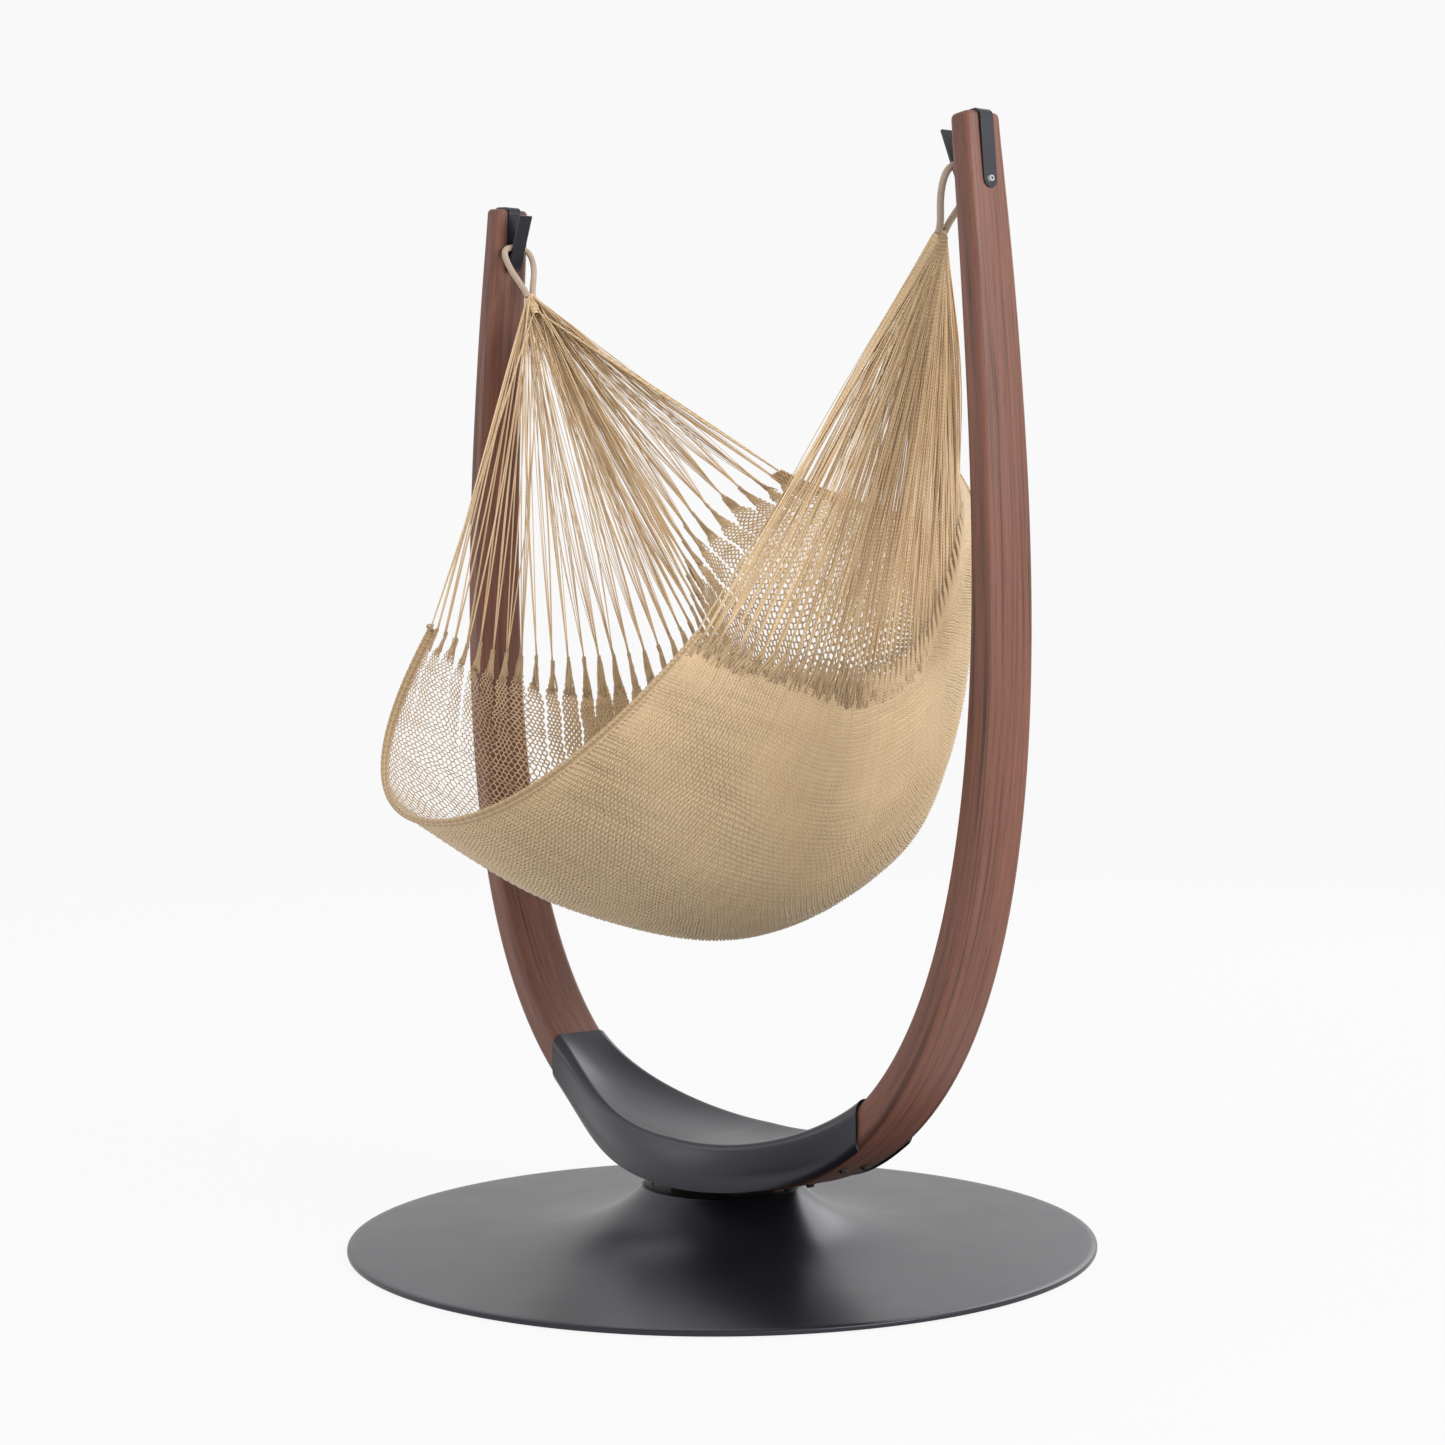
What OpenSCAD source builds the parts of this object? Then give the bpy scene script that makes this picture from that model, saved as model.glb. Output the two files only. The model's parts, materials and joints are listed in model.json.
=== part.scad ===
// Hammock chair on a swivelling bentwood stand.
// A spun steel disc carries a ball race; a U of two bent timber arms turns on it, and a woven
// hammock chair hangs between two strap hooks on the arm tips.
// Frame: +Z up, origin on the floor at the disc's centre, arms in the XZ plane, chair facing -Y.

/* [Base] */
// Diameter of the spun steel disc
base_d = 1220; // [1160:10:1280]
// Diameter of the neck at the top of the disc
neck_d = 260; // [250:2:280]
// Height of the neck's top above the floor
neck_z = 96; // [95:1:97]
// Height of the disc's rim above the floor
rim_z = 10; // [9:1:12]
// Thickness of the spun sheet
sheet_t = 3; // [2:0.5:4]
// Number of radial ribs under the disc
rib_count = 8; // [6:1:12]
// Number of rubber feet under the ground ring
foot_count = 8; // [6:1:12]

/* [Swivel] */
// Pitch radius of the bearing balls
race_r = 80; // [78:1:82]
// Radius of one bearing ball
ball_r = 4; // [4:0.5:4]
// Number of bearing balls
ball_count = 20; // [12:2:24]
// Radius of the kingpin
kingpin_r = 10; // [8:0.5:10]

/* [Arms] */
// Height of the underside of the U above the floor
arm_z = 101; // [101:1:103]
// Height of the outer corner of the arm tips
tip_z = 1750; // [1740:1:1760]
// Distance of the outer corner of an arm tip from the middle plane
tip_x = 637; // [632:1:642]
// Arm width, front to back, at the bottom of the U
arm_w_low = 114; // [110:1:116]
// Arm width at the tip
arm_w_top = 68; // [64:1:72]
// Arm thickness at the bottom of the U
arm_t_low = 67; // [65:1:69]
// Arm thickness at the tip
arm_t_top = 41; // [40:1:42]
// Radius of the arm's long edges
arm_edge_r = 12; // [10:1:13]

/* [Saddle cover] */
// Half width of the cover's raised rim at the middle
cover_w_mid = 108; // [100:1:112]
// Half width of the skirt's lower edge at the middle
skirt_w_mid = 120; // [114:1:126]
// Height of the raised rim above the timber at the middle
rim_rise = 16.5; // [12:0.5:18]
// Wall of the pressed cover
cover_wall = 4; // [3:0.5:4]

/* [Hooks] */
// Width of the flat bar
bar_w = 25; // [22:1:28]
// Thickness of the flat bar
bar_t = 4; // [3:0.5:4]
// Length of the outer leg below the tip
outer_leg = 112; // [108:1:116]
// Length of the inner leg, from the tip to the fold
inner_leg = 103; // [102:1:104]
// Angle that the return leg opens from the inner leg
hook_open = 18; // [18:0.5:19]

/* [Hammock] */
// Radius of the rope of the two hanging eyes
eye_rope_r = 5.5; // [5:0.5:5.5]
// Thickness of the woven bed
bed_t = 8; // [6:1:10]
// Radius of the front edge band
front_band_r = 9; // [7:0.5:10]
// Radius of the back edge band
back_band_r = 7; // [6:0.5:9]

/* [Hidden] */
$fn = 64;

STEEL_BLACK = "#26282b";
ZINC = "#b9bcc0";
WALNUT = "#6b4030";
RUBBER = "#1b1b1c";
YARN = "#c6b189";
EYE_ROPE = "#d2c3a8";

fit = 0.05;      // radial clearance of a running fit
seat_gap = 0.2;  // clearance between a bar or cover and the timber
tiny = 0.01;     // overrun of a cutting tool

// Heights of the stack between disc and arms
foot_h = 4;
ring_t = 3;
bearing_plate_t = 6;
race_t = 3;
cup_depth = 22;       // from the neck's top down to the bearing plate's underside
flange_r = neck_d / 2 - 16;
flange_z = neck_z - sheet_t;
plate_z = neck_z - cup_depth;
race_z = plate_z + bearing_plate_t;
ball_z = race_z + race_t + ball_r - 1;
turn_z = ball_z + ball_r - 1;
turn_t = 6;
pad_z = turn_z + turn_t;
flat_z = arm_z + 4;
race_groove_r = ball_r + fit;
tube_r = 70;
tube_wall = 5;
nut_recess_r = 22;
plate_bolt_x = 45;
plate_bolt_y = 24;
insert_r = 6.5;
insert_top = 129;
dowel_r = 6;
dowel_y = 20;
dowel_z = 142;
dowel_l = 80;

// The arm's outer line, from the middle of the U to the tip, as control points in X and Z
arm_line = [
    [0, arm_z], [385, arm_z], [739, 516], [672, 1511], [tip_x + 9, tip_z - 95], [tip_x, tip_z]
];
arm_rings = 46;
tip_round = 8;
butt_t = 0.00015;   // where an arm starts, half a millimetre from the middle plane
cover_end = 0.163;  // where the cover ends, along the arm's line
cover_slant = 0.02; // how much further its top reaches than its skirt
bolt_places = [0.065, 0.119];
bolt_y = 22;

// Hammock: five points of the surface at each of six stations from the front edge to the back
bed_corner = [[370, -320, 1005], [415, -150, 965], [360, 20, 950], [315, 170, 1010], [355, 205, 1185], [225, 305, 1275]];
bed_middle = [[0, -555, 720], [0, -280, 570], [0, 20, 505], [0, 310, 620], [0, 410, 890], [0, 495, 1185]];
corner_pull = [0.03, 0.05, 0.10, 0.12, 0.10, 0.09];
middle_pull = [0.58, 0.56, 0.54, 0.51, 0.48, 0.44];
seat_point = [592, 0, 1678];
throat_point = [536, 0, 1570];
whipping_l = 24;
whipping_r = 11;

// ---------- numbers and vectors ----------
function clamp01(x) = min(1, max(0, x));
function lerp(a, b, f) = a + (b - a) * f;
function unit(v) = v / norm(v);
function total(v, i = 0) = i == len(v) - 1 ? v[i] : v[i] + total(v, i + 1);
function flip_x(p) = [-p[0], p[1], p[2]];

// ---------- clamped uniform cubic B-spline ----------
function knot(i, n) = clamp01((i - 3) / (n - 3));
function part(a, b) = b > a ? 1 / (b - a) : 0;
function basis(i, k, t, n) = k == 0
    ? (knot(i, n) <= t && t < knot(i + 1, n) ? 1 : 0)
    : (t - knot(i, n)) * part(knot(i, n), knot(i + k, n)) * basis(i, k - 1, t, n)
        + (knot(i + k + 1, n) - t) * part(knot(i + 1, n), knot(i + k + 1, n)) * basis(i + 1, k - 1, t, n);
function spline(points, t) =
    total([for (i = [0 : len(points) - 1]) basis(i, 3, min(t, 0.99999), len(points)) * points[i]]);

// ---------- smooth curve through the points of a list, t from 0 to 1 ----------
function at(list, i) = list[max(0, min(len(list) - 1, i))];
function through(list, t) =
    let (s = t * (len(list) - 1), i = min(floor(s), len(list) - 2), f = s - i,
        a = at(list, i - 1), b = at(list, i), c = at(list, i + 1), d = at(list, i + 2))
    b + 0.5 * f * (c - a + f * (2 * a - 5 * b + 4 * c - d + f * (3 * (b - c) + d - a)));

// ---------- solids from rings of points ----------
// Closes a ring whose points run along one face of a sheet and back along the other
function sheet_cap(n, first) = [
    for (i = [0 : n / 2 - 2]) let (a = first + i, b = a + 1, c = first + n - 2 - i, d = c + 1)
        each [[a, b, c], [a, c, d]]
];
function reversed(face) = [for (i = [len(face) - 1 : -1 : 0]) face[i]];

// Closed solid through a list of rings with equal numbers of points
module skin(rings, sheet = false) {
    n = len(rings[0]);
    m = len(rings);
    sides = [
        for (k = [0 : m - 2]) for (i = [0 : n - 1]) let (j = (i + 1) % n)
            each [[k * n + i, k * n + j, (k + 1) * n + j], [k * n + i, (k + 1) * n + j, (k + 1) * n + i]]
    ];
    first_cap = sheet ? sheet_cap(n, 0) : [[for (i = [0 : n - 1]) i]];
    last_cap = sheet ? sheet_cap(n, (m - 1) * n) : [[for (i = [0 : n - 1]) (m - 1) * n + i]];
    faces = concat(sides, [for (face = first_cap) reversed(face)], last_cap);
    polyhedron([for (ring = rings) each ring], faces, convexity = 8);
}

// A round tube through a list of points; side is a direction that the route never runs along
module tube(route, r, side, sides = 8) {
    last = len(route) - 1;
    skin([
        for (k = [0 : last])
            let (along = unit(route[min(k + 1, last)] - route[max(k - 1, 0)]),
                a = unit(cross(side, along)), b = cross(along, a))
            [for (i = [0 : sides - 1]) route[k] + r * (cos(360 * i / sides) * a + sin(360 * i / sides) * b)]
    ]);
}

// ---------- the arm's line ----------
function arm_point(t) = spline(arm_line, t);
function arm_dir(t) = t > 0.999
    ? unit(arm_line[5] - arm_line[4])
    : unit(arm_point(t + 0.0005) - arm_point(max(0, t - 0.0005)));
function arm_in(t) = let (d = arm_dir(t)) [-d[1], d[0]];
function arm_t(t) = arm_t_low - (arm_t_low - arm_t_top) * (1 - pow(1 - t, 3));
function arm_w(t) = lerp(arm_w_low, arm_w_top, t);

// A point in the arm's own section: y across the arm, q from its outer face towards the inside of the U
function on_arm(t, y, q) = let (p = arm_point(t), n = arm_in(t)) [p[0] + n[0] * q, y, p[1] + n[1] * q];

// Places children on the arm's outer face with their Z along the section's thickness
module at_arm(t, y = 0) {
    n = arm_in(t);
    translate(on_arm(t, y, 0)) rotate([0, atan2(n[0], n[1]), 0]) children();
}

// Rounded rectangle of width w and thickness h around (0, middle), as [across, through] points
function rounded(w, h, r, middle, steps = 3) = [
    for (corner = [[1, 1, 0], [-1, 1, 90], [-1, -1, 180], [1, -1, 270]]) for (s = [0 : steps])
        let (a = corner[2] + 90 * s / steps)
        [corner[0] * (w / 2 - r) + r * cos(a), middle + corner[1] * (h / 2 - r) + r * sin(a)]
];

function arm_ring(t, inset, back) =
    let (d = arm_dir(t), shift = [-d[0] * back, 0, -d[1] * back],
        section = rounded(arm_w(t) - 2 * inset, arm_t(t) - 2 * inset, max(arm_edge_r - inset, 4), arm_t(t) / 2))
    [for (p = section) on_arm(t, p[0], p[1]) + shift];

module arm_blank() {
    skin(concat(
        [for (k = [0 : arm_rings]) arm_ring(lerp(butt_t, 0.985, k / arm_rings), 0, 0)],
        [for (a = [0, 30, 60, 90]) arm_ring(1, tip_round * (1 - cos(a)), tip_round * (1 - sin(a)))]
    ));
}

module both_sides() {
    children();
    mirror([1, 0, 0]) children();
}

module at_plate_bolts() {
    for (x = [-1, 1]) for (y = [-1, 1]) translate([x * plate_bolt_x, y * plate_bolt_y, 0]) children();
}

module at_arm_bolts() {
    for (t = bolt_places) for (y = [-bolt_y, bolt_y]) at_arm(t, y) children();
}

module ring(z0, z1, r0, r1) {
    translate([0, 0, z0]) difference() {
        cylinder(h = z1 - z0, r = r1);
        translate([0, 0, -1]) cylinder(h = z1 - z0 + 2, r = r0);
    }
}

// ---------- base ----------
// Height of the disc's upper surface at radius r: a gentle cone that sweeps up into the neck
function disc_z(r) = let (f = (base_d / 2 - r) / (base_d / 2 - neck_d / 2))
    rim_z + 14 * f + (neck_z - rim_z - 14) * pow(f, 7);

disc_radii = [for (k = [0 : 22]) lerp(neck_d / 2, base_d / 2 - 3, pow(k / 22, 1.6))];

module base_shell() {
    outer = base_d / 2;
    upper = [for (r = disc_radii) [r, disc_z(r)]];
    lower = [for (k = [len(disc_radii) - 1 : -1 : 1]) [disc_radii[k], disc_z(disc_radii[k]) - sheet_t]];
    color(STEEL_BLACK) rotate_extrude($fn = 128) polygon(concat(
        [[flange_r, flange_z], [flange_r, neck_z]],
        upper,
        [[outer - 1, rim_z - 1], [outer, rim_z - 3], [outer, 2.5], [outer - sheet_t, 2.5]],
        lower,
        [[neck_d / 2 - 2, flange_z]]
    ));
}

module ground_ring() {
    color(STEEL_BLACK) ring(foot_h, foot_h + ring_t, base_d / 2 - 70, base_d / 2 - 12);
}

module base_ribs() {
    thickness = 5;
    inner = tube_r + 0.2;
    end = base_d / 2 - 70.5;
    radii = [for (k = [0 : 30]) lerp(inner, end, k / 30)];
    top = [for (r = radii) [r, min(plate_z - 0.3, disc_z(max(r, neck_d / 2)) - sheet_t - 1.5)]];
    color(STEEL_BLACK) for (k = [0 : rib_count - 1]) rotate([0, 0, 360 * k / rib_count + 22.5])
        rotate([90, 0, 0]) linear_extrude(thickness, center = true)
            polygon(concat([[inner, foot_h + 0.5]], top, [[end, foot_h + 0.5]]));
}

module rubber_feet() {
    color(RUBBER) for (k = [0 : foot_count - 1]) rotate([0, 0, 360 * k / foot_count])
        translate([base_d / 2 - 40, 0, 0]) cylinder(h = foot_h, r1 = 20, r2 = 18, $fn = 32);
}

module neck_tube() {
    color(STEEL_BLACK) ring(foot_h + 0.5, plate_z, tube_r - tube_wall, tube_r);
}

module bearing_plate() {
    color(STEEL_BLACK) {
        ring(plate_z, race_z, kingpin_r + fit, flange_r + 4);
        ring(race_z - tiny, flange_z, flange_r, flange_r + 4);
    }
}

module lower_race() {
    color(ZINC) difference() {
        ring(race_z, race_z + race_t, race_r - 18, race_r + 18);
        race_groove();
    }
}

module race_groove() {
    translate([0, 0, ball_z]) rotate_extrude() translate([race_r, 0]) circle(r = race_groove_r);
}

module kingpin() {
    head_h = 12;
    color(ZINC) {
        translate([0, 0, plate_z - head_h]) cylinder(h = head_h, r = 17, $fn = 6);
        translate([0, 0, plate_z - 1]) cylinder(h = 35, r = kingpin_r);
    }
}

washer_t = 2;
nut_h = 10;

module kingpin_washer() {
    color(ZINC) ring(pad_z + fit, pad_z + fit + washer_t, kingpin_r + 2 * fit, 18);
}

module kingpin_nut() {
    z0 = pad_z + 2 * fit + washer_t;
    color(ZINC) translate([0, 0, z0]) difference() {
        cylinder(h = nut_h, r = 17, $fn = 6);
        translate([0, 0, -1]) cylinder(h = nut_h + 2, r = kingpin_r);
    }
}

// ---------- ball cage ----------
module at_balls() {
    for (k = [0 : ball_count - 1]) rotate([0, 0, 360 * k / ball_count]) translate([race_r, 0, ball_z]) children();
}

module bearing_balls() {
    color(ZINC) at_balls() sphere(r = ball_r, $fn = 24);
}

module ball_cage() {
    color("#c9b46a") difference() {
        ring(ball_z - 0.8, ball_z + 0.8, race_r - 8, race_r + 8);
        at_balls() cylinder(h = 4, r = ball_r + 0.15, center = true, $fn = 32);
    }
}

// ---------- swivel top ----------
module turn_plate() {
    color(STEEL_BLACK) difference() {
        ring(turn_z, pad_z, kingpin_r + fit, flange_r - 2);
        race_groove();
        at_plate_bolts() translate([0, 0, turn_z - tiny]) cylinder(h = turn_t + 1, r = 4.2);
        at_plate_bolts() translate([0, 0, turn_z - tiny]) cylinder(h = 4, r1 = 8.2, r2 = 4.2);
    }
}

module mounting_plate() {
    color(STEEL_BLACK) difference() {
        translate([-85, -42, pad_z]) cube([170, 84, flat_z - pad_z]);
        translate([0, 0, pad_z - 1]) cylinder(h = 20, r = nut_recess_r + 2);
        at_plate_bolts() translate([0, 0, pad_z - 1]) cylinder(h = 20, r = 4.2);
    }
}

module plate_bolts() {
    color(ZINC) at_plate_bolts() {
        translate([0, 0, turn_z + 0.2]) cylinder(h = 4, r1 = 7.9, r2 = 4);
        translate([0, 0, turn_z + 4]) cylinder(h = insert_top - turn_z - 7, r = 4);
    }
}

module wood_inserts() {
    color(ZINC) at_plate_bolts() difference() {
        translate([0, 0, flat_z + 0.5]) cylinder(h = insert_top - flat_z - 0.5, r = insert_r);
        translate([0, 0, flat_z]) cylinder(h = insert_top - flat_z - 2, r = 4);
    }
}

module joint_dowels() {
    color("#b98f63") for (y = [-dowel_y, dowel_y]) translate([0, y, dowel_z]) rotate([0, 90, 0])
        cylinder(h = dowel_l, r = dowel_r, center = true);
}

// ---------- timber arms ----------
outer_screw_a = -99;  // height of the outer leg's screw, from the tip
inner_screw_a = -42;  // height of the inner leg's screw, from the tip
outer_screw_l = 30;
inner_screw_l = 26;

// Places children at the arm tip: X towards the inside of the U, Z up along the arm
module at_tip() {
    d = arm_dir(1);
    translate([tip_x, 0, tip_z]) rotate([0, atan2(d[0], d[1]), 0]) mirror([1, 0, 0]) children();
}

module arm() {
    color(WALNUT) difference() {
        arm_blank();
        translate([-1, -arm_w_low, arm_z - 20]) cube([140, 2 * arm_w_low, flat_z - arm_z + 20]);
        translate([0, 0, flat_z - 1]) cylinder(h = 10, r = nut_recess_r);
        at_plate_bolts() translate([0, 0, flat_z - 1]) cylinder(h = insert_top - flat_z + 1, r = insert_r);
        for (y = [-dowel_y, dowel_y]) translate([0, y, dowel_z]) rotate([0, 90, 0])
            cylinder(h = dowel_l + 4, r = dowel_r + 0.1, center = true);
        at_arm_bolts() translate([0, 0, -20]) cylinder(h = 100, r = 4.3);
        at_arm_bolts() translate([0, 0, -9]) cylinder(h = 10, r = 10);
        for (t = bolt_places) for (y = [-bolt_y, bolt_y]) at_arm(t, y)
            translate([0, 0, arm_t(t) - 8]) cylinder(h = 20, r = 9);
        at_tip() translate([-10, -bar_w / 2 - seat_gap, -outer_leg - seat_gap])
            cube([10, bar_w + 2 * seat_gap, outer_leg + 20]);
        at_tip() translate([-10, 0, outer_screw_a]) rotate([0, 90, 0]) cylinder(h = 44, r = 5);
        at_tip() translate([arm_t_top - inner_screw_l, 0, inner_screw_a]) rotate([0, 90, 0])
            cylinder(h = inner_screw_l + 4, r = 2.6);
    }
}

module arm_right() {
    arm();
}

module arm_left() {
    mirror([1, 0, 0]) arm();
}

// ---------- saddle cover ----------
function ease(f) = (1 + cos(180 * f)) / 2;

// The cover's section at place t, as [across, through] points: a dished top with a raised rim at
// the middle, and a skirt each side that wraps the timber's edges at the ends
function cover_ring(t) =
    let (f = abs(t) / cover_end, mid = ease(f), h = arm_t(abs(t)), hw = arm_w(abs(t)) / 2,
        gap = 0.5, top = h + gap + cover_wall, wrap = arm_edge_r + gap + cover_wall,
        rise = gap + cover_wall + (rim_rise - gap - cover_wall) * (1 - pow(f, 3)),
        rim = lerp(wrap, 2 * cover_wall, mid),
        corner = [lerp(hw - arm_edge_r, cover_w_mid - 2 * cover_wall, mid), h + rise - rim],
        dish = [for (j = [0 : 6]) [corner[0] * j / 6, lerp(top, h + rise, pow(j / 6, 2.4))]],
        low_mid = [skirt_w_mid, 7], from = [corner[0] + rim, corner[1]],
        foot = [hw - arm_edge_r, arm_edge_r],
        places = [0.3, 0.6, 1, 1, 1], turns = [0, 0, 0, -25, -50],
        side = [for (j = [0 : 4]) lerp(
            lerp(from, foot + wrap * [cos(turns[j]), sin(turns[j])], places[j]),
            lerp(from, low_mid, (j + 1) / 5) + [3 * sin(36 * (j + 1)), 0],
            mid)],
        side_in = [for (j = [0 : 4]) side[j] - cover_wall * [cos(turns[j] * (1 - mid)), sin(turns[j] * (1 - mid))]],
        out = concat(dish, [for (a = [60, 30, 0]) corner + rim * [cos(a), sin(a)]], side),
        inn = concat(
            [for (p = dish) p - [0, cover_wall]],
            [for (a = [60, 30, 0]) corner + (rim - cover_wall) * [cos(a), sin(a)]],
            side_in),
        last = len(out) - 1)
    concat(
        [for (i = [last : -1 : 1]) [-out[i][0], out[i][1]]],
        out,
        [for (i = [last : -1 : 0]) inn[i]],
        [for (i = [1 : last]) [-inn[i][0], inn[i][1]]]
    );

module saddle_cover() {
    steps = 28;
    color(STEEL_BLACK) skin([
        for (k = [0 : steps]) let (t = lerp(-cover_end, cover_end, k / steps), far = abs(t))
            [for (p = cover_ring(t))
                let (slant = cover_slant * far / cover_end * (p[1] / arm_t(far) - 0.5),
                    q = on_arm(far + slant, -p[0], p[1]))
                t < 0 ? flip_x(q) : q]
    ], sheet = true);
}

module cover_nuts() {
    color(ZINC) both_sides() for (t = bolt_places) for (y = [-bolt_y, bolt_y]) at_arm(t, y)
        translate([0, 0, arm_t(t) - 6.5]) difference() {
            cylinder(h = 6.5, r = 7.5, $fn = 6);
            translate([0, 0, -1]) cylinder(h = 9, r = 4);
        }
}

module arm_bolts() {
    color(ZINC) both_sides() for (t = bolt_places) for (y = [-bolt_y, bolt_y]) at_arm(t, y) {
        translate([0, 0, -0.6]) cylinder(h = arm_t(t) - 0.6, r = 4);
        translate([0, 0, -4.6]) difference() {
            cylinder(h = 4, r1 = 5.5, r2 = 7);
            translate([0, 0, -tiny]) cylinder(h = 2.5, r = 2.9, $fn = 6);
        }
    }
}

module arm_washers() {
    color(ZINC) both_sides() at_arm_bolts() translate([0, 0, -0.6]) ring(0, 1.6, 4.2, 8.5);
}

// ---------- hooks ----------
// One bend of the bar: the centre line's points on an arc
function bend(cx, cy, r, a0, a1, steps = 6) =
    [for (s = [0 : steps]) let (a = lerp(a0, a1, s / steps)) [cx + r * cos(a), cy + r * sin(a)]];

fold_r = 3.5;
return_l = 98;
bar_off = bar_t / 2 + seat_gap;
bar_line = let (corner = tip_round + bar_off, inner_x = arm_t_top + bar_off, fold_x = inner_x + fold_r,
    lean = [sin(hook_open), cos(hook_open)],
    fold_end = [fold_x + fold_r * cos(hook_open), -inner_leg - fold_r * sin(hook_open)])
    concat(
        [[-bar_off, -outer_leg]],
        bend(tip_round, -tip_round, corner, 180, 90),
        bend(arm_t_top - tip_round, -tip_round, corner, 90, 0),
        bend(fold_x, -inner_leg, fold_r, 180, 360 - hook_open, 8),
        [fold_end + return_l * lean]
    );

// The bar's edge, half a thickness to one side of its centre line
function bar_edge(side) = let (last = len(bar_line) - 1) [
    for (k = [0 : last]) let (d = unit(bar_line[min(k + 1, last)] - bar_line[max(k - 1, 0)]))
        bar_line[k] + side * bar_t / 2 * [-d[1], d[0]]
];

module hook() {
    end_r = bar_w / 2;
    color(STEEL_BLACK) at_tip() difference() {
        rotate([90, 0, 0]) linear_extrude(bar_w, center = true)
            polygon(concat(bar_edge(1), [for (k = [len(bar_line) - 1 : -1 : 0]) bar_edge(-1)[k]]));
        translate([-10, 0, -outer_leg + end_r]) rotate([0, 90, 0]) difference() {
            translate([0, -end_r - 1, 0]) cube([end_r + 2, bar_w + 2, 10]);
            translate([0, 0, -1]) cylinder(h = 12, r = end_r);
        }
        translate([-10, 0, outer_screw_a]) rotate([0, 90, 0]) cylinder(h = 20, r = 3.3);
        translate([arm_t_top, 0, inner_screw_a]) rotate([0, 90, 0]) {
            cylinder(h = 8, r = 2.7);
            translate([0, 0, seat_gap + 1]) cylinder(h = 3.01, r1 = 2.7, r2 = 5.5);
        }
    }
}

module hook_right() {
    hook();
}

module hook_left() {
    mirror([1, 0, 0]) hook();
}

module hook_screws() {
    color(ZINC) both_sides() at_tip() translate([-bar_t - seat_gap, 0, outer_screw_a]) rotate([0, 90, 0]) {
        cylinder(h = outer_screw_l, r = 3);
        translate([0, 0, -3]) difference() {
            cylinder(h = 3, r1 = 4.5, r2 = 6);
            translate([0, 0, -tiny]) cylinder(h = 2, r = 2.3, $fn = 6);
        }
    }
}

module hook_inserts() {
    color(ZINC) both_sides() at_tip() translate([8, 0, outer_screw_a]) rotate([0, 90, 0]) difference() {
        cylinder(h = 20, r = 4.9);
        translate([0, 0, -1]) cylinder(h = 30, r = 3 + fit);
    }
}

module hook_inner_screws() {
    color(ZINC) both_sides() at_tip() translate([arm_t_top + seat_gap + bar_t, 0, inner_screw_a])
        rotate([0, -90, 0]) {
            cylinder(h = 3, r1 = 5.3, r2 = 2.5);
            cylinder(h = inner_screw_l, r = 2.5);
        }
}

// ---------- hammock ----------
eye_dir = unit(throat_point - seat_point);
function eye_point(y, s) = seat_point + [0, y, 0] + s * eye_dir;

// Half of an eye's loop, from the throat to the top: [across, down from the seat]
eye_half = [[6, 103.5], [6, 93], [14, 74], [25, 48], [30, 18], [22, -1.5]];

module rope_eye() {
    line = concat(eye_half, [for (k = [len(eye_half) - 1 : -1 : 0]) [-eye_half[k][0], eye_half[k][1]]]);
    route = [for (k = [0 : 48]) let (p = spline(line, k / 48)) eye_point(p[0], p[1])];
    color(EYE_ROPE) tube(route, eye_rope_r, cross([0, 1, 0], eye_dir), 10);
}

module rope_eye_right() {
    rope_eye();
}

module rope_eye_left() {
    mirror([1, 0, 0]) rope_eye();
}

module throat_whipping() {
    color(EYE_ROPE) translate(eye_point(0, 104)) rotate([0, 180 + atan2(-eye_dir[0], -eye_dir[2]), 0])
        cylinder(h = whipping_l, r = whipping_r, $fn = 32);
}

module throat_whipping_right() {
    throat_whipping();
}

module throat_whipping_left() {
    mirror([1, 0, 0]) throat_whipping();
}

// The hammock's surface: v from the front edge to the back, u from -1 to 1 across, 0 in the middle
function bed_half(f, v) =
    let (a = through(bed_corner, v), d = through(bed_middle, v), reach = norm(d - a),
        b = a + unit(a - throat_point) * reach * through(corner_pull, v),
        c = d + [reach * through(middle_pull, v), 0, 0], g = 1 - f)
    g * g * g * a + 3 * g * g * f * b + 3 * g * f * f * c + f * f * f * d;
function bed_point(u, v) = u < 0 ? flip_x(bed_half(1 + u, v)) : bed_half(1 - u, v);
function bed_normal(u, v) =
    let (e = 0.01, u0 = max(-1, u - e), u1 = min(1, u + e), v0 = max(0, v - e), v1 = min(1, v + e))
    unit(cross(bed_point(u1, v) - bed_point(u0, v), bed_point(u, v1) - bed_point(u, v0)));

// The bed stops short of its two edge bands by their radius
function bed_inner(u, v) =
    v == 0 ? bed_point(u, 0) + (front_band_r + 1) * unit(bed_point(u, 0.05) - bed_point(u, 0))
    : v == 1 ? bed_point(u, 1) + (back_band_r + 1) * unit(bed_point(u, 0.95) - bed_point(u, 1))
    : bed_point(u, v);

module hammock_bed() {
    across = 24;
    back = 18;
    color(YARN) skin([
        for (k = [0 : back]) let (v = k / back) concat(
            [for (i = [0 : across]) let (u = 2 * i / across - 1) bed_inner(u, v) - bed_t / 2 * bed_normal(u, v)],
            [for (i = [across : -1 : 0]) let (u = 2 * i / across - 1) bed_inner(u, v) + bed_t / 2 * bed_normal(u, v)]
        )
    ], sheet = true);
}

module edge_band(v, r) {
    steps = 56;
    end = 0.985;
    route = [for (k = [0 : steps]) bed_point(lerp(-end, end, k / steps), v)];
    color(YARN) tube(route, r, [0, 1, 0]);
}

module front_edge_band() {
    edge_band(0, front_band_r);
}

module back_edge_band() {
    edge_band(1, back_band_r);
}

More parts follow.
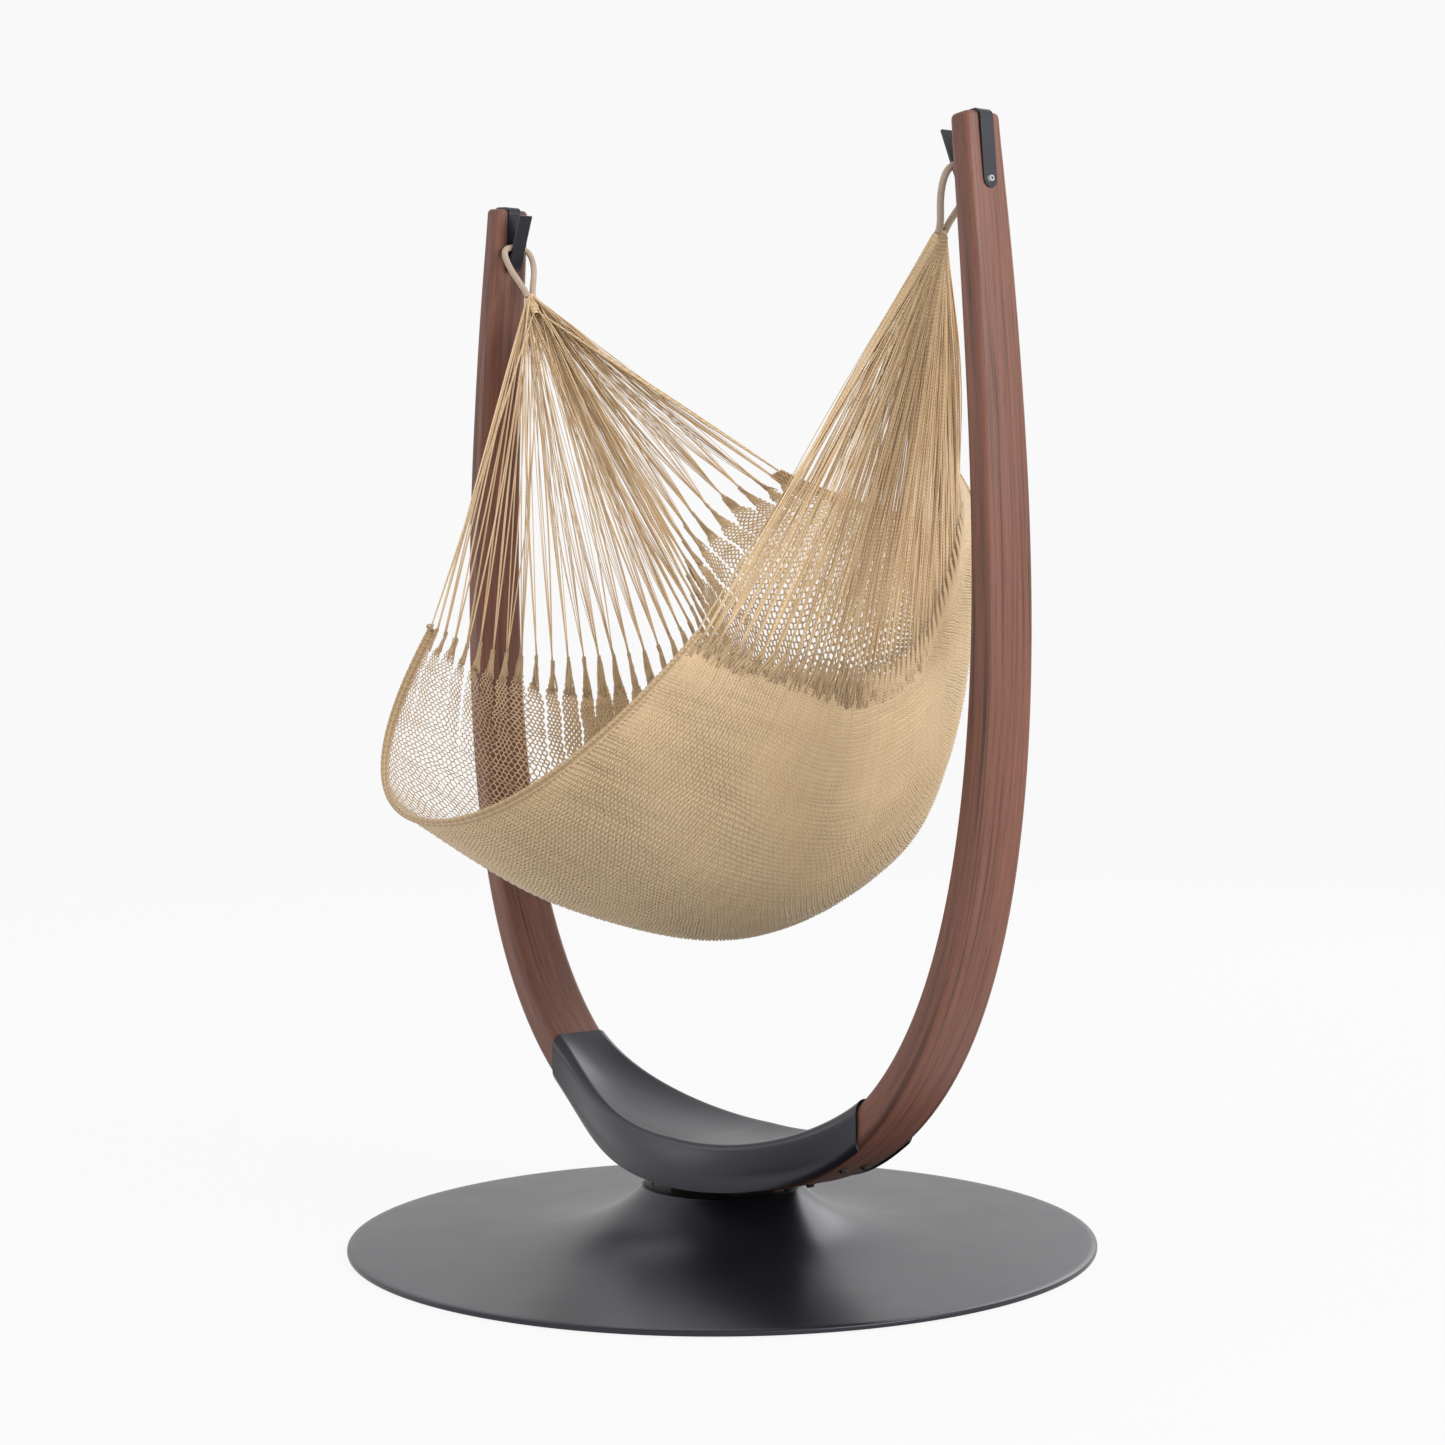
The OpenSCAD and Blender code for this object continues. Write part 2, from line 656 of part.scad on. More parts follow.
// The fan of nettle cords between a throat and the bed, as one thin shell
fan_start = eye_point(0, 105 + whipping_l);
fan_gap = 5;  // clearance between the fan and the bed
function fan_root(v) = let (q = bed_half(0, v) - fan_start, side = q - (q * eye_dir) * eye_dir)
    fan_start + 7 * unit(side);
function fan_point(g, v) = let (a = fan_root(v), b = bed_half(0, v)) a + (b - a) * g * (1 - fan_gap / norm(b - a));
function fan_normal(g, v) = let (e = 0.02)
    unit(cross(fan_point(g, min(1, v + e)) - fan_point(g, max(0, v - e)), bed_half(0, v) - fan_root(v)));

module nettles() {
    strands = 24;
    lengths = 5;
    thickness = 7;
    color(YARN) skin([
        for (k = [0 : strands]) let (v = lerp(0.012, 0.988, k / strands)) concat(
            [for (i = [0 : lengths]) fan_point(i / lengths, v) + thickness / 2 * fan_normal(i / lengths, v)],
            [for (i = [lengths : -1 : 0]) fan_point(i / lengths, v) - thickness / 2 * fan_normal(i / lengths, v)]
        )
    ], sheet = true);
}

module nettles_right() {
    nettles();
}

module nettles_left() {
    mirror([1, 0, 0]) nettles();
}

base_shell();
ground_ring();
base_ribs();
rubber_feet();
neck_tube();
bearing_plate();
lower_race();
kingpin();
kingpin_washer();
kingpin_nut();
bearing_balls();
ball_cage();
turn_plate();
mounting_plate();
plate_bolts();
wood_inserts();
joint_dowels();
arm_left();
arm_right();
saddle_cover();
cover_nuts();
arm_bolts();
arm_washers();
hook_left();
hook_right();
hook_screws();
hook_inserts();
hook_inner_screws();
rope_eye_left();
rope_eye_right();
throat_whipping_left();
throat_whipping_right();
nettles_left();
nettles_right();
hammock_bed();
front_edge_band();
back_edge_band();
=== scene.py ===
import json
import math

import bmesh
import bpy
import numpy as np
from bpy.props import FloatProperty, FloatVectorProperty, IntProperty, PointerProperty
from mathutils import Matrix, Vector


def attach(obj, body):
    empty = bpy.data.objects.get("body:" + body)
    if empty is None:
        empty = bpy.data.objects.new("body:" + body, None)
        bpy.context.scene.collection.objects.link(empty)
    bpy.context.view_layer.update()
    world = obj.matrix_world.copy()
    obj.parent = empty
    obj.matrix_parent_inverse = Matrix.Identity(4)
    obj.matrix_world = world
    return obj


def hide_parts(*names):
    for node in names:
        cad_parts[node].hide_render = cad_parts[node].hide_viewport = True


bl_info = {
    "name": "Hammock Chair on a Swivelling Stand",
    "version": (1, 0, 0),
    "blender": (4, 5, 0),
    "location": "3D View > Sidebar > Hammock",
    "description": "Builds the visible pieces of a woven hammock chair around its packed CAD frame",
    "category": "Add Mesh",
}

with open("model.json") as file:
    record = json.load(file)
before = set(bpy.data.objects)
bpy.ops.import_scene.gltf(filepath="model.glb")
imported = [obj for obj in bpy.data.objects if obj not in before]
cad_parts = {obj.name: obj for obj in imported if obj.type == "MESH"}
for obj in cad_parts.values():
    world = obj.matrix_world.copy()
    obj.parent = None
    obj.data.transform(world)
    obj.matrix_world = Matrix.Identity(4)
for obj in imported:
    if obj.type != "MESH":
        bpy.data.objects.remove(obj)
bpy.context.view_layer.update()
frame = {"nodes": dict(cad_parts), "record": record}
MM = 0.001

# ---------- the stand's own lines, the same as the CAD's, in millimetres ----------
ARM_LINE = np.array([[0, 101], [385, 101], [739, 516], [672, 1511], [646, 1655], [637, 1750]], float)
ARM_WIDTH = (114, 68)     # at the bottom and at the tip
ARM_THICK = (67, 41)
ARM_EDGE_R = 12
ARM_TIP_ROUND = 8
ARM_TIP_EDGE_R = 4        # the least that the long edges are rounded at the tip
ARM_START = 0.00015       # the two arms butt here, just off the middle
ARM_FLAT = (139, 105)     # half length of the flat under the U, and its height
ARM_ROWS = 190
COVER_END = 0.163         # the cover's end, as a place along the arm
COVER_SLANT = 0.02
COVER_HALF = (108, 120)   # half width of the dish and of the skirt, at the middle
COVER_RISE = 16.5
COVER_WALL = 4
COVER_GAP = 0.5           # between the cover and the timber
COVER_DISH = 2.4          # the power of the dish's curve
COVER_TUCK = 50           # degrees that the cover's ends turn in under the timber
COVER_ROWS = 120
SKIRT_FOOT = 7            # the skirt's lower edge above the arms' outer line, at the middle
SKIRT_BOW = 3
SKIRT_STEPS = 12
DISH_STEPS = 16
DISC_R = 610
NECK_R = 130
NECK_Z = 96
FLANGE_W = 16             # the flat ring inside the neck
LIP_R = 2
RIM_Z = 10
RIM_R = 3
RIM_FOOT = 2.5            # height of the rolled rim's lower edge
CONE_RISE = 14            # the disc is a shallow cone up to its neck
NECK_SWEEP = 7            # the power of the curve into the neck
SHEET_T = 3
DISC_ROWS = 89
DISC_SIDES = 256

# ---------- the hammock's surface at six stations, from the front edge to the back, in millimetres ----------
# where each station's curve meets the tassels, and where it crosses the middle of the hammock
BED_CORNER = np.array([[370, -320, 1005], [415, -150, 965], [360, 20, 950],
                       [315, 170, 1010], [355, 205, 1185], [225, 305, 1275]], float)
BED_MIDDLE = np.array([[0, -555, 720], [0, -280, 570], [0, 20, 505],
                       [0, 310, 620], [0, 410, 890], [0, 495, 1185]], float)
# how far each curve runs straight on at its corner and at its middle, as a share of the distance between them
CORNER_PULL = np.array([0.03, 0.05, 0.10, 0.12, 0.10, 0.09])
MIDDLE_PULL = np.array([0.58, 0.56, 0.54, 0.51, 0.48, 0.44])
SEAT = np.array([592.0, 0, 1678])       # where the right eye hangs in its hook
THROAT = np.array([536.0, 0, 1570])
# half of an eye's route, as the distances to the side of the hook seat and down from it
EYE_HALF = np.array([[6, 103.5], [6, 93], [14, 74], [25, 48], [30, 18], [22, -1.5]], float)
EYE_R = 5.5
WHIPPING_FROM, WHIPPING_LENGTH, WHIPPING_R = 104, 24, 11
EYE_DIR = (THROAT - SEAT) / np.linalg.norm(THROAT - SEAT)
EYE_SIDE = np.cross([0, 1, 0], EYE_DIR)


# ---------- colours ----------
def linear(hex_colour):
    """A colour written as sRGB hex, as the linear numbers that a shader takes."""
    parts = [int(hex_colour[i:i + 2], 16) / 255 for i in (1, 3, 5)]
    return tuple(c / 12.92 if c <= 0.04045 else ((c + 0.055) / 1.055) ** 2.4 for c in parts) + (1.0,)


class HammockSettings(bpy.types.PropertyGroup):
    """Sizes and colours that a user would change."""

    timber: FloatVectorProperty(name="Timber", description="Oiled timber between its dark streaks",
                                subtype="COLOR", size=4, default=linear("#764a3a"))
    timber_dark: FloatVectorProperty(name="Timber streaks", description="Dark streaks of the timber",
                                     subtype="COLOR", size=4, default=linear("#40251b"))
    coat: FloatVectorProperty(name="Powder coat", description="Satin black powder coat on the steel",
                              subtype="COLOR", size=4, default=linear("#14151c"))
    yarn: FloatVectorProperty(name="Yarn", description="Undyed sand-coloured yarn of the net",
                              subtype="COLOR", size=4, default=linear("#d7bf9c"))
    rope: FloatVectorProperty(name="Eye rope", description="Paler rope of the two hanging eyes",
                              subtype="COLOR", size=4, default=linear("#b9a899"))
    courses: IntProperty(name="Courses", description="Zigzag cords of the net, from the front to the back",
                         default=224, min=56, max=264)
    waves: IntProperty(name="Waves", description="Zigzags of each cord across the net",
                       default=84, min=40, max=100)
    open_cord: FloatProperty(name="Open net cord", description="Radius of a cord where the net is open",
                             subtype="DISTANCE", unit="LENGTH", default=0.9 * MM)
    close_cord: FloatProperty(name="Close net cord", description="Radius of a cord where the net is close",
                              subtype="DISTANCE", unit="LENGTH", default=2.9 * MM)
    string: FloatProperty(name="Nettle string", description="Radius of one nettle string",
                          subtype="DISTANCE", unit="LENGTH", default=0.85 * MM)


def settings():
    """The user's sizes and colours."""
    return bpy.context.scene.hammock_chair


# ---------- curves and surfaces as arrays ----------
def spline(points, t):
    """Points of a clamped uniform cubic B-spline at the places t, from 0 to 1."""
    n = len(points)
    knots = np.clip((np.arange(n + 4) - 3) / (n - 3), 0, 1)
    t = np.minimum(np.asarray(t, float), 0.99999)[:, None]
    basis = ((knots[:-1] <= t) & (t < knots[1:])).astype(float)
    for k in range(1, 4):
        low, high = knots[:-k - 1], knots[k:-1]
        low2, high2 = knots[1:-k], knots[k + 1:]
        a = np.where(high > low, (t - low) / np.where(high > low, high - low, 1), 0)
        b = np.where(high2 > low2, (high2 - t) / np.where(high2 > low2, high2 - low2, 1), 0)
        basis = a * basis[:, :-1] + b * basis[:, 1:]
    return basis @ points


def through(stations, t):
    """Points of a smooth curve through the stations at the places t, from 0 to 1."""
    last = len(stations) - 1
    s = np.clip(t, 0, 1) * last
    i = np.minimum(np.floor(s).astype(int), last - 1)
    f = s - i
    a, b, c, d = (stations[np.clip(i + k, 0, last)] for k in (-1, 0, 1, 2))
    if stations.ndim > 1:
        f = f[..., None]
    return b + 0.5 * f * (c - a + f * (2 * a - 5 * b + 4 * c - d + f * (3 * (b - c) + d - a)))


def bezier(a, b, c, d, f):
    """Points of a cubic Bezier curve at the places f, from 0 to 1."""
    g = 1 - f
    return g ** 3 * a + 3 * g * g * f * b + 3 * g * f * f * c + f ** 3 * d


def unit(v):
    """Vectors of length 1 with the same directions."""
    return v / np.maximum(np.linalg.norm(v, axis=-1, keepdims=True), 1e-9)


def smooth(low, high, x):
    """0 below low, 1 above high, and a soft step between them."""
    f = np.clip((x - low) / (high - low), 0, 1)
    return f * f * (3 - 2 * f)


def bed(u, v):
    """The hammock's surface, in millimetres: u from -1 to 1 across, v from the front edge to the back."""
    u, v = np.broadcast_arrays(np.asarray(u, float), np.asarray(v, float))
    a, d = through(BED_CORNER, v), through(BED_MIDDLE, v)
    reach = np.linalg.norm(d - a, axis=-1, keepdims=True)
    b = a + unit(a - THROAT) * reach * through(CORNER_PULL, v)[..., None]
    c = d + np.array([1.0, 0, 0]) * reach * through(MIDDLE_PULL, v)[..., None]
    point = bezier(a, b, c, d, (1 - np.abs(u))[..., None])
    point[..., 0] *= np.where(u < 0, -1, 1)
    return point


def bed_normal(u, v):
    """Unit normals of the hammock's surface, towards the inside of the bag."""
    e = 0.01
    u, v = np.broadcast_arrays(np.asarray(u, float), np.asarray(v, float))
    across = bed(np.minimum(u + e, 1), v) - bed(np.maximum(u - e, -1), v)
    along = bed(u, np.minimum(v + e, 1)) - bed(u, np.maximum(v - e, 0))
    return unit(np.cross(across, along))


def ripple(u, v, seed, size):
    """Smooth seeded unevenness over the bed, about -1 to 1."""
    rng = np.random.default_rng(seed)
    total = 0
    for _ in range(10):
        a, b = rng.normal(0, size, 2)
        total = total + np.sin(a * u * 6 + b * v * 6 + rng.uniform(0, 2 * math.pi))
    return total / 3


def swell(place, seed, periods=(2.3, 3.7, 6.1, 9.7)):
    """Smooth seeded unevenness along a row of tassels, about -1 to 1. The periods are in tassels."""
    rng = np.random.default_rng(seed)
    return sum(np.sin(2 * math.pi * place / p + rng.uniform(0, 2 * math.pi)) for p in periods) / 2.4


def lengths_along(path):
    """The length of a path up to each of its points."""
    return np.concatenate([[0], np.cumsum(np.linalg.norm(np.diff(path, axis=0), axis=1))])


# ---------- meshes ----------
def mesh_object(name, points, quads, body, material, data=None):
    """A smooth mesh piece from arrays of points in metres and of four-cornered faces, on a body and in a
    material slot. data holds the points' own places, as vectors."""
    mesh = bpy.data.meshes.new(name)
    points = np.asarray(points, np.float32)
    quads = np.asarray(quads, np.int32)
    mesh.vertices.add(len(points))
    mesh.vertices.foreach_set("co", points.ravel())
    mesh.loops.add(quads.size)
    mesh.loops.foreach_set("vertex_index", quads.ravel())
    mesh.polygons.add(len(quads))
    mesh.polygons.foreach_set("loop_start", np.arange(0, quads.size, quads.shape[1], dtype=np.int32))
    mesh.polygons.foreach_set("use_smooth", np.full(len(quads), True))
    mesh.update(calc_edges=True)
    for key, values in (data or {}).items():
        attribute = mesh.attributes.new(key, "FLOAT_VECTOR", "POINT")
        attribute.data.foreach_set("vector", np.asarray(values, np.float32).ravel())
    mesh.validate()
    obj = bpy.data.objects.new(name, mesh)
    bpy.context.collection.objects.link(obj)
    mesh.materials.append(bpy.data.materials[material])
    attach(obj, body)
    return obj


def grid_quads(rows, columns, closed=False):
    """Faces of a grid of rows times columns points; closed joins the last column to the first."""
    wide = columns if closed else columns - 1
    r, c = np.meshgrid(np.arange(rows - 1), np.arange(wide), indexing="ij")
    a, b = r * columns + c, r * columns + (c + 1) % columns
    return np.stack([a, b, b + columns, a + columns], -1).reshape(-1, 4)


def tubes(paths, radius, ups, sides=6, twist=None, lobes=0, depth=0.0, tone=None):
    """Tubes along many paths with equal numbers of points: (points, quads, attributes), all in metres.
    A lobed section that turns along the path makes a laid rope."""
    paths = np.asarray(paths, float)
    count, long = paths.shape[:2]
    along = unit(np.gradient(paths, axis=1))
    ups = np.broadcast_to(ups, paths.shape)
    a = unit(np.cross(ups, along))
    b = np.cross(along, a)
    steps = np.linalg.norm(np.diff(paths, axis=1), axis=2)
    run = np.concatenate([np.zeros((count, 1)), np.cumsum(steps, axis=1)], axis=1)
    angle = 2 * math.pi * np.arange(sides) / sides
    phase = np.zeros((count, long, 1)) if twist is None else 2 * math.pi * run[..., None] / twist
    r = np.broadcast_to(np.asarray(radius, float), (count, long))[..., None]
    r = r * (1 + depth * np.cos(lobes * (angle - phase))) if lobes else r * np.ones(sides)
    ring = paths[:, :, None] + r[..., None] * (
        np.cos(angle)[:, None] * a[:, :, None] + np.sin(angle)[:, None] * b[:, :, None])
    one = grid_quads(long, sides, closed=True)
    quads = (one[None] + (np.arange(count) * long * sides)[:, None, None]).reshape(-1, 4)
    if sides == 4:
        # a four-sided tube is closed at both ends
        ends = np.array([[0, 3, 2, 1], [(long - 1) * 4 + k for k in range(4)]])
        caps = (ends[None] + (np.arange(count) * long * 4)[:, None, None]).reshape(-1, 4)
        quads = np.concatenate([quads, caps])
    rng = np.random.default_rng(7)
    tone = rng.uniform(0, 1, count) if tone is None else np.asarray(tone)
    shape = (count, long, sides)
    lay = np.stack([
        np.broadcast_to(run[..., None], shape),
        np.broadcast_to(angle / (2 * math.pi), shape),
        np.broadcast_to(tone.reshape(count, -1)[:, :, None], shape)], -1)
    return ring.reshape(-1, 3), quads, {"lay": lay.reshape(-1, 3)}


def joined(parts):
    """Several (points, quads, attributes) as one."""
    points, quads, lays, start = [], [], [], 0
    for p, q, data in parts:
        points.append(p)
        quads.append(q + start)
        lays.append(data["lay"])
        start += len(p)
    return np.concatenate(points), np.concatenate(quads), {"lay": np.concatenate(lays)}


# ---------- materials ----------
def add_node(tree, kind, inputs=None, links=None, **values):
    """Adds a node, sets its own values and its sockets, and links sockets to other nodes' outputs."""
    node = tree.nodes.new(kind)
    for key, value in values.items():
        setattr(node, key, value)
    for key, value in (inputs or {}).items():
        node.inputs[key].default_value = value
    for key, (other, output) in (links or {}).items():
        tree.links.new(other.outputs[output], node.inputs[key])
    return node


def new_material(name, sockets):
    """A node material with a Principled shader whose plain sockets are set."""
    material = bpy.data.materials.new(name)
    material.use_nodes = True
    tree = material.node_tree
    shader = tree.nodes["Principled BSDF"]
    for key, value in sockets.items():
        shader.inputs[key].default_value = value
    return material, tree, shader


def ramp(tree, source, output, stops):
    """A colour ramp after a node's output; stops are (place, linear colour)."""
    node = add_node(tree, "ShaderNodeValToRGB", links={"Fac": (source, output)})
    elements = node.color_ramp.elements
    while len(elements) < len(stops):
        elements.new(0.5)
    for element, (place, colour) in zip(elements, stops):
        element.position = place
        element.color = colour
    return node


def warm(colour, factor):
    """A darker colour that keeps more of its red, as painted shade in the depth of a bundle of yarn."""
    return tuple(c * factor ** power for c, power in zip(colour, (0.85, 1.1, 1.4))) + (1.0,)


def shade(colour, factor):
    """A darker or lighter shade of the same colour."""
    return tuple(min(1.0, c * factor) for c in colour[:3]) + (1.0,)


def make_powder_coat(name, colour, grain_mm=0.9):
    """Powder coat, sprayed and baked: satin, with a fine orange-peel bump and faint dulling by dust."""
    material, tree, shader = new_material(name, {"IOR": 1.5, "Specular Tint": (0.90, 0.91, 1.0, 1.0)})
    place = add_node(tree, "ShaderNodeTexCoord")
    peel = add_node(tree, "ShaderNodeTexNoise", {"Scale": 1 / (grain_mm * MM), "Detail": 2.0},
                    {"Vector": (place, "Object")})
    dust = add_node(tree, "ShaderNodeTexNoise", {"Scale": 9.0, "Detail": 5.0, "Roughness": 0.6},
                    {"Vector": (place, "Object")})
    rough = add_node(tree, "ShaderNodeMapRange", {"To Min": 0.27, "To Max": 0.36}, {"Value": (dust, "Fac")})
    tint = ramp(tree, dust, "Fac", [(0.3, shade(colour, 0.92)), (0.7, shade(colour, 1.08))])
    bump = add_node(tree, "ShaderNodeBump", {"Strength": 0.12, "Distance": 0.0002}, {"Height": (peel, "Fac")})
    tree.links.new(tint.outputs["Color"], shader.inputs["Base Color"])
    tree.links.new(rough.outputs["Result"], shader.inputs["Roughness"])
    tree.links.new(bump.outputs["Normal"], shader.inputs["Normal"])
    return material


def make_metal(name, colour, rough, scratch_mm):
    """Turned, stamped or blackened metal, with fine tool marks that spread its highlights."""
    material, tree, shader = new_material(name, {"Metallic": 1.0})
    place = add_node(tree, "ShaderNodeTexCoord")
    marks = add_node(tree, "ShaderNodeTexNoise", {"Scale": 1 / (scratch_mm * MM), "Detail": 3.0},
                     {"Vector": (place, "Object")})
    spread = add_node(tree, "ShaderNodeMapRange", {"To Min": rough * 0.8, "To Max": rough * 1.3},
                      {"Value": (marks, "Fac")})
    tint = ramp(tree, marks, "Fac", [(0.2, shade(colour, 0.85)), (0.8, colour)])
    tree.links.new(tint.outputs["Color"], shader.inputs["Base Color"])
    tree.links.new(spread.outputs["Result"], shader.inputs["Roughness"])
    return material


def make_rubber(name, colour):
    """Moulded rubber: matt black with a faint bloom."""
    material, tree, shader = new_material(name, {"Roughness": 0.8, "IOR": 1.52})
    place = add_node(tree, "ShaderNodeTexCoord")
    bloom = add_node(tree, "ShaderNodeTexNoise", {"Scale": 60.0, "Detail": 4.0},
                     {"Vector": (place, "Object")})
    tint = ramp(tree, bloom, "Fac", [(0.3, colour), (0.8, shade(colour, 1.6))])
    tree.links.new(tint.outputs["Color"], shader.inputs["Base Color"])
    return material


def make_timber(name, light, dark, grain):
    """Timber, planed, sanded and oiled: long dark streaks and fine pores along the grain, satin.
    Where grain is true, it follows the arm's own coordinates across, through and along it, in metres."""
    material, tree, shader = new_material(name, {"IOR": 1.47, "Coat Weight": 0.06, "Coat Roughness": 0.4})
    if grain:
        place, output = add_node(tree, "ShaderNodeAttribute", attribute_name="grain"), "Vector"
    else:
        place, output = add_node(tree, "ShaderNodeTexCoord"), "Object"
    wander = add_node(tree, "ShaderNodeTexNoise", {"Scale": 3.0, "Detail": 2.0}, {"Vector": (place, output)})
    bent = add_node(tree, "ShaderNodeVectorMath", {1: (0.004, 0.004, 0.0)},
                    {0: (wander, "Color")}, operation="MULTIPLY")
    moved = add_node(tree, "ShaderNodeVectorMath", links={0: (place, output), 1: (bent, 0)}, operation="ADD")
    # growth rings cut flat: bands about 9 mm wide that run for most of a metre
    wide = add_node(tree, "ShaderNodeMapping", {"Scale": (120.0, 80.0, 1.6)}, {"Vector": (moved, 0)})
    rings = add_node(tree, "ShaderNodeTexNoise", {"Scale": 1.0, "Detail": 3.0, "Roughness": 0.55},
                     {"Vector": (wide, 0)})
    # streaks about 2 mm wide and 140 mm long
    fine = add_node(tree, "ShaderNodeMapping", {"Scale": (600.0, 600.0, 7.0)}, {"Vector": (moved, 0)})
    streaks = add_node(tree, "ShaderNodeTexNoise", {"Scale": 1.0, "Detail": 4.0, "Roughness": 0.6},
                       {"Vector": (fine, 0)})
    # open pores: short dark dashes under a millimetre wide, drawn a little coarse so that they show
    thin = add_node(tree, "ShaderNodeMapping", {"Scale": (1300.0, 1300.0, 60.0)}, {"Vector": (moved, 0)})
    pores = add_node(tree, "ShaderNodeTexNoise", {"Scale": 1.0, "Detail": 2.0}, {"Vector": (thin, 0)})
    base = ramp(tree, rings, "Fac", [(0.28, shade(dark, 1.1)), (0.43, shade(light, 0.85)), (0.58, light),
                                     (0.74, shade(light, 1.12))])
    line = ramp(tree, streaks, "Fac", [(0.34, (0.62, 0.56, 0.55, 1)), (0.50, (0.95, 0.93, 0.92, 1)),
                                       (0.72, (1.0, 1.0, 1.0, 1))])
    dash = ramp(tree, pores, "Fac", [(0.30, (0.55, 0.48, 0.45, 1)), (0.40, (1, 1, 1, 1))])
    one = add_node(tree, "ShaderNodeMix", {0: 1.0}, {6: (base, "Color"), 7: (line, "Color")},
                   data_type="RGBA", blend_type="MULTIPLY")
    two = add_node(tree, "ShaderNodeMix", {0: 0.7}, {6: (one, 2), 7: (dash, "Color")},
                   data_type="RGBA", blend_type="MULTIPLY")
    rough = add_node(tree, "ShaderNodeMapRange", {"To Min": 0.60, "To Max": 0.46},
                     {"Value": (streaks, "Fac")})
    bump = add_node(tree, "ShaderNodeBump", {"Strength": 0.25, "Distance": 0.0003},
                    {"Height": (pores, "Fac")})
    tree.links.new(two.outputs[2], shader.inputs["Base Color"])
    tree.links.new(rough.outputs["Result"], shader.inputs["Roughness"])
    tree.links.new(bump.outputs["Normal"], shader.inputs["Normal"])
    return material


def make_yarn(name, colour, twist_mm, plies):
    """Cotton yarn, spun and plied or braided: matt and slightly fuzzy, with its twist as slanting grooves
    that are bumped and darkened with painted shade.
    The twist is drawn coarser than the real 2 mm so that it shows. lay is the cord's own place:
    metres along it, turn around it, and a tone, partly its own and partly painted light and shade."""
    material, tree, shader = new_material(name, {
        "Roughness": 0.82, "IOR": 1.46, "Sheen Weight": 0.45, "Sheen Roughness": 0.4})
    lay = add_node(tree, "ShaderNodeAttribute", attribute_name="lay")
    split = add_node(tree, "ShaderNodeSeparateXYZ", links={0: (lay, "Vector")})
    along = add_node(tree, "ShaderNodeMath", {1: 2 * math.pi / (twist_mm * MM)}, {0: (split, 0)},
                     operation="MULTIPLY")
    around = add_node(tree, "ShaderNodeMath", {1: 2 * math.pi * plies}, {0: (split, 1)}, operation="MULTIPLY")
    both = add_node(tree, "ShaderNodeMath", links={0: (along, 0), 1: (around, 0)}, operation="ADD")
    groove = add_node(tree, "ShaderNodeMath", links={0: (both, 0)}, operation="SINE")
    place = add_node(tree, "ShaderNodeTexCoord")
    # fibres stand off the yarn about a millimetre apart, and handling leaves wide faint clouds
    fuzz = add_node(tree, "ShaderNodeTexNoise", {"Scale": 900.0, "Detail": 3.0},
                    {"Vector": (place, "Object")})
    cloud = add_node(tree, "ShaderNodeTexNoise", {"Scale": 7.0, "Detail": 4.0},
                     {"Vector": (place, "Object")})
    # a cord's tone is partly its own and partly painted light and shade: low tones give darker, redder
    # painted shade
    tone = ramp(tree, split, 2, [(0.0, warm(colour, 0.60)), (0.25, warm(colour, 0.80)),
                                 (0.5, shade(colour, 0.97)), (1.0, shade(colour, 1.12))])
    soil = ramp(tree, cloud, "Fac", [(0.3, (0.93, 0.90, 0.85, 1)), (0.65, (1, 1, 1, 1))])
    # painted shade: the colour darkens to a warm brown in the grooves of the twist, where shade falls
    deep = ramp(tree, groove, 0, [(0.0, (0.78, 0.72, 0.64, 1)), (0.55, (1, 1, 1, 1))])
    one = add_node(tree, "ShaderNodeMix", {0: 1.0}, {6: (tone, "Color"), 7: (soil, "Color")},
                   data_type="RGBA", blend_type="MULTIPLY")
    two = add_node(tree, "ShaderNodeMix", {0: 0.8}, {6: (one, 2), 7: (deep, "Color")},
                   data_type="RGBA", blend_type="MULTIPLY")
    heights = add_node(tree, "ShaderNodeMath", {1: 0.5}, {0: (groove, 0), 2: (fuzz, "Fac")},
                       operation="MULTIPLY_ADD")
    bump = add_node(tree, "ShaderNodeBump", {"Strength": 0.5, "Distance": 0.0004}, {"Height": (heights, 0)})
    tree.links.new(two.outputs[2], shader.inputs["Base Color"])
    tree.links.new(bump.outputs["Normal"], shader.inputs["Normal"])
    return material


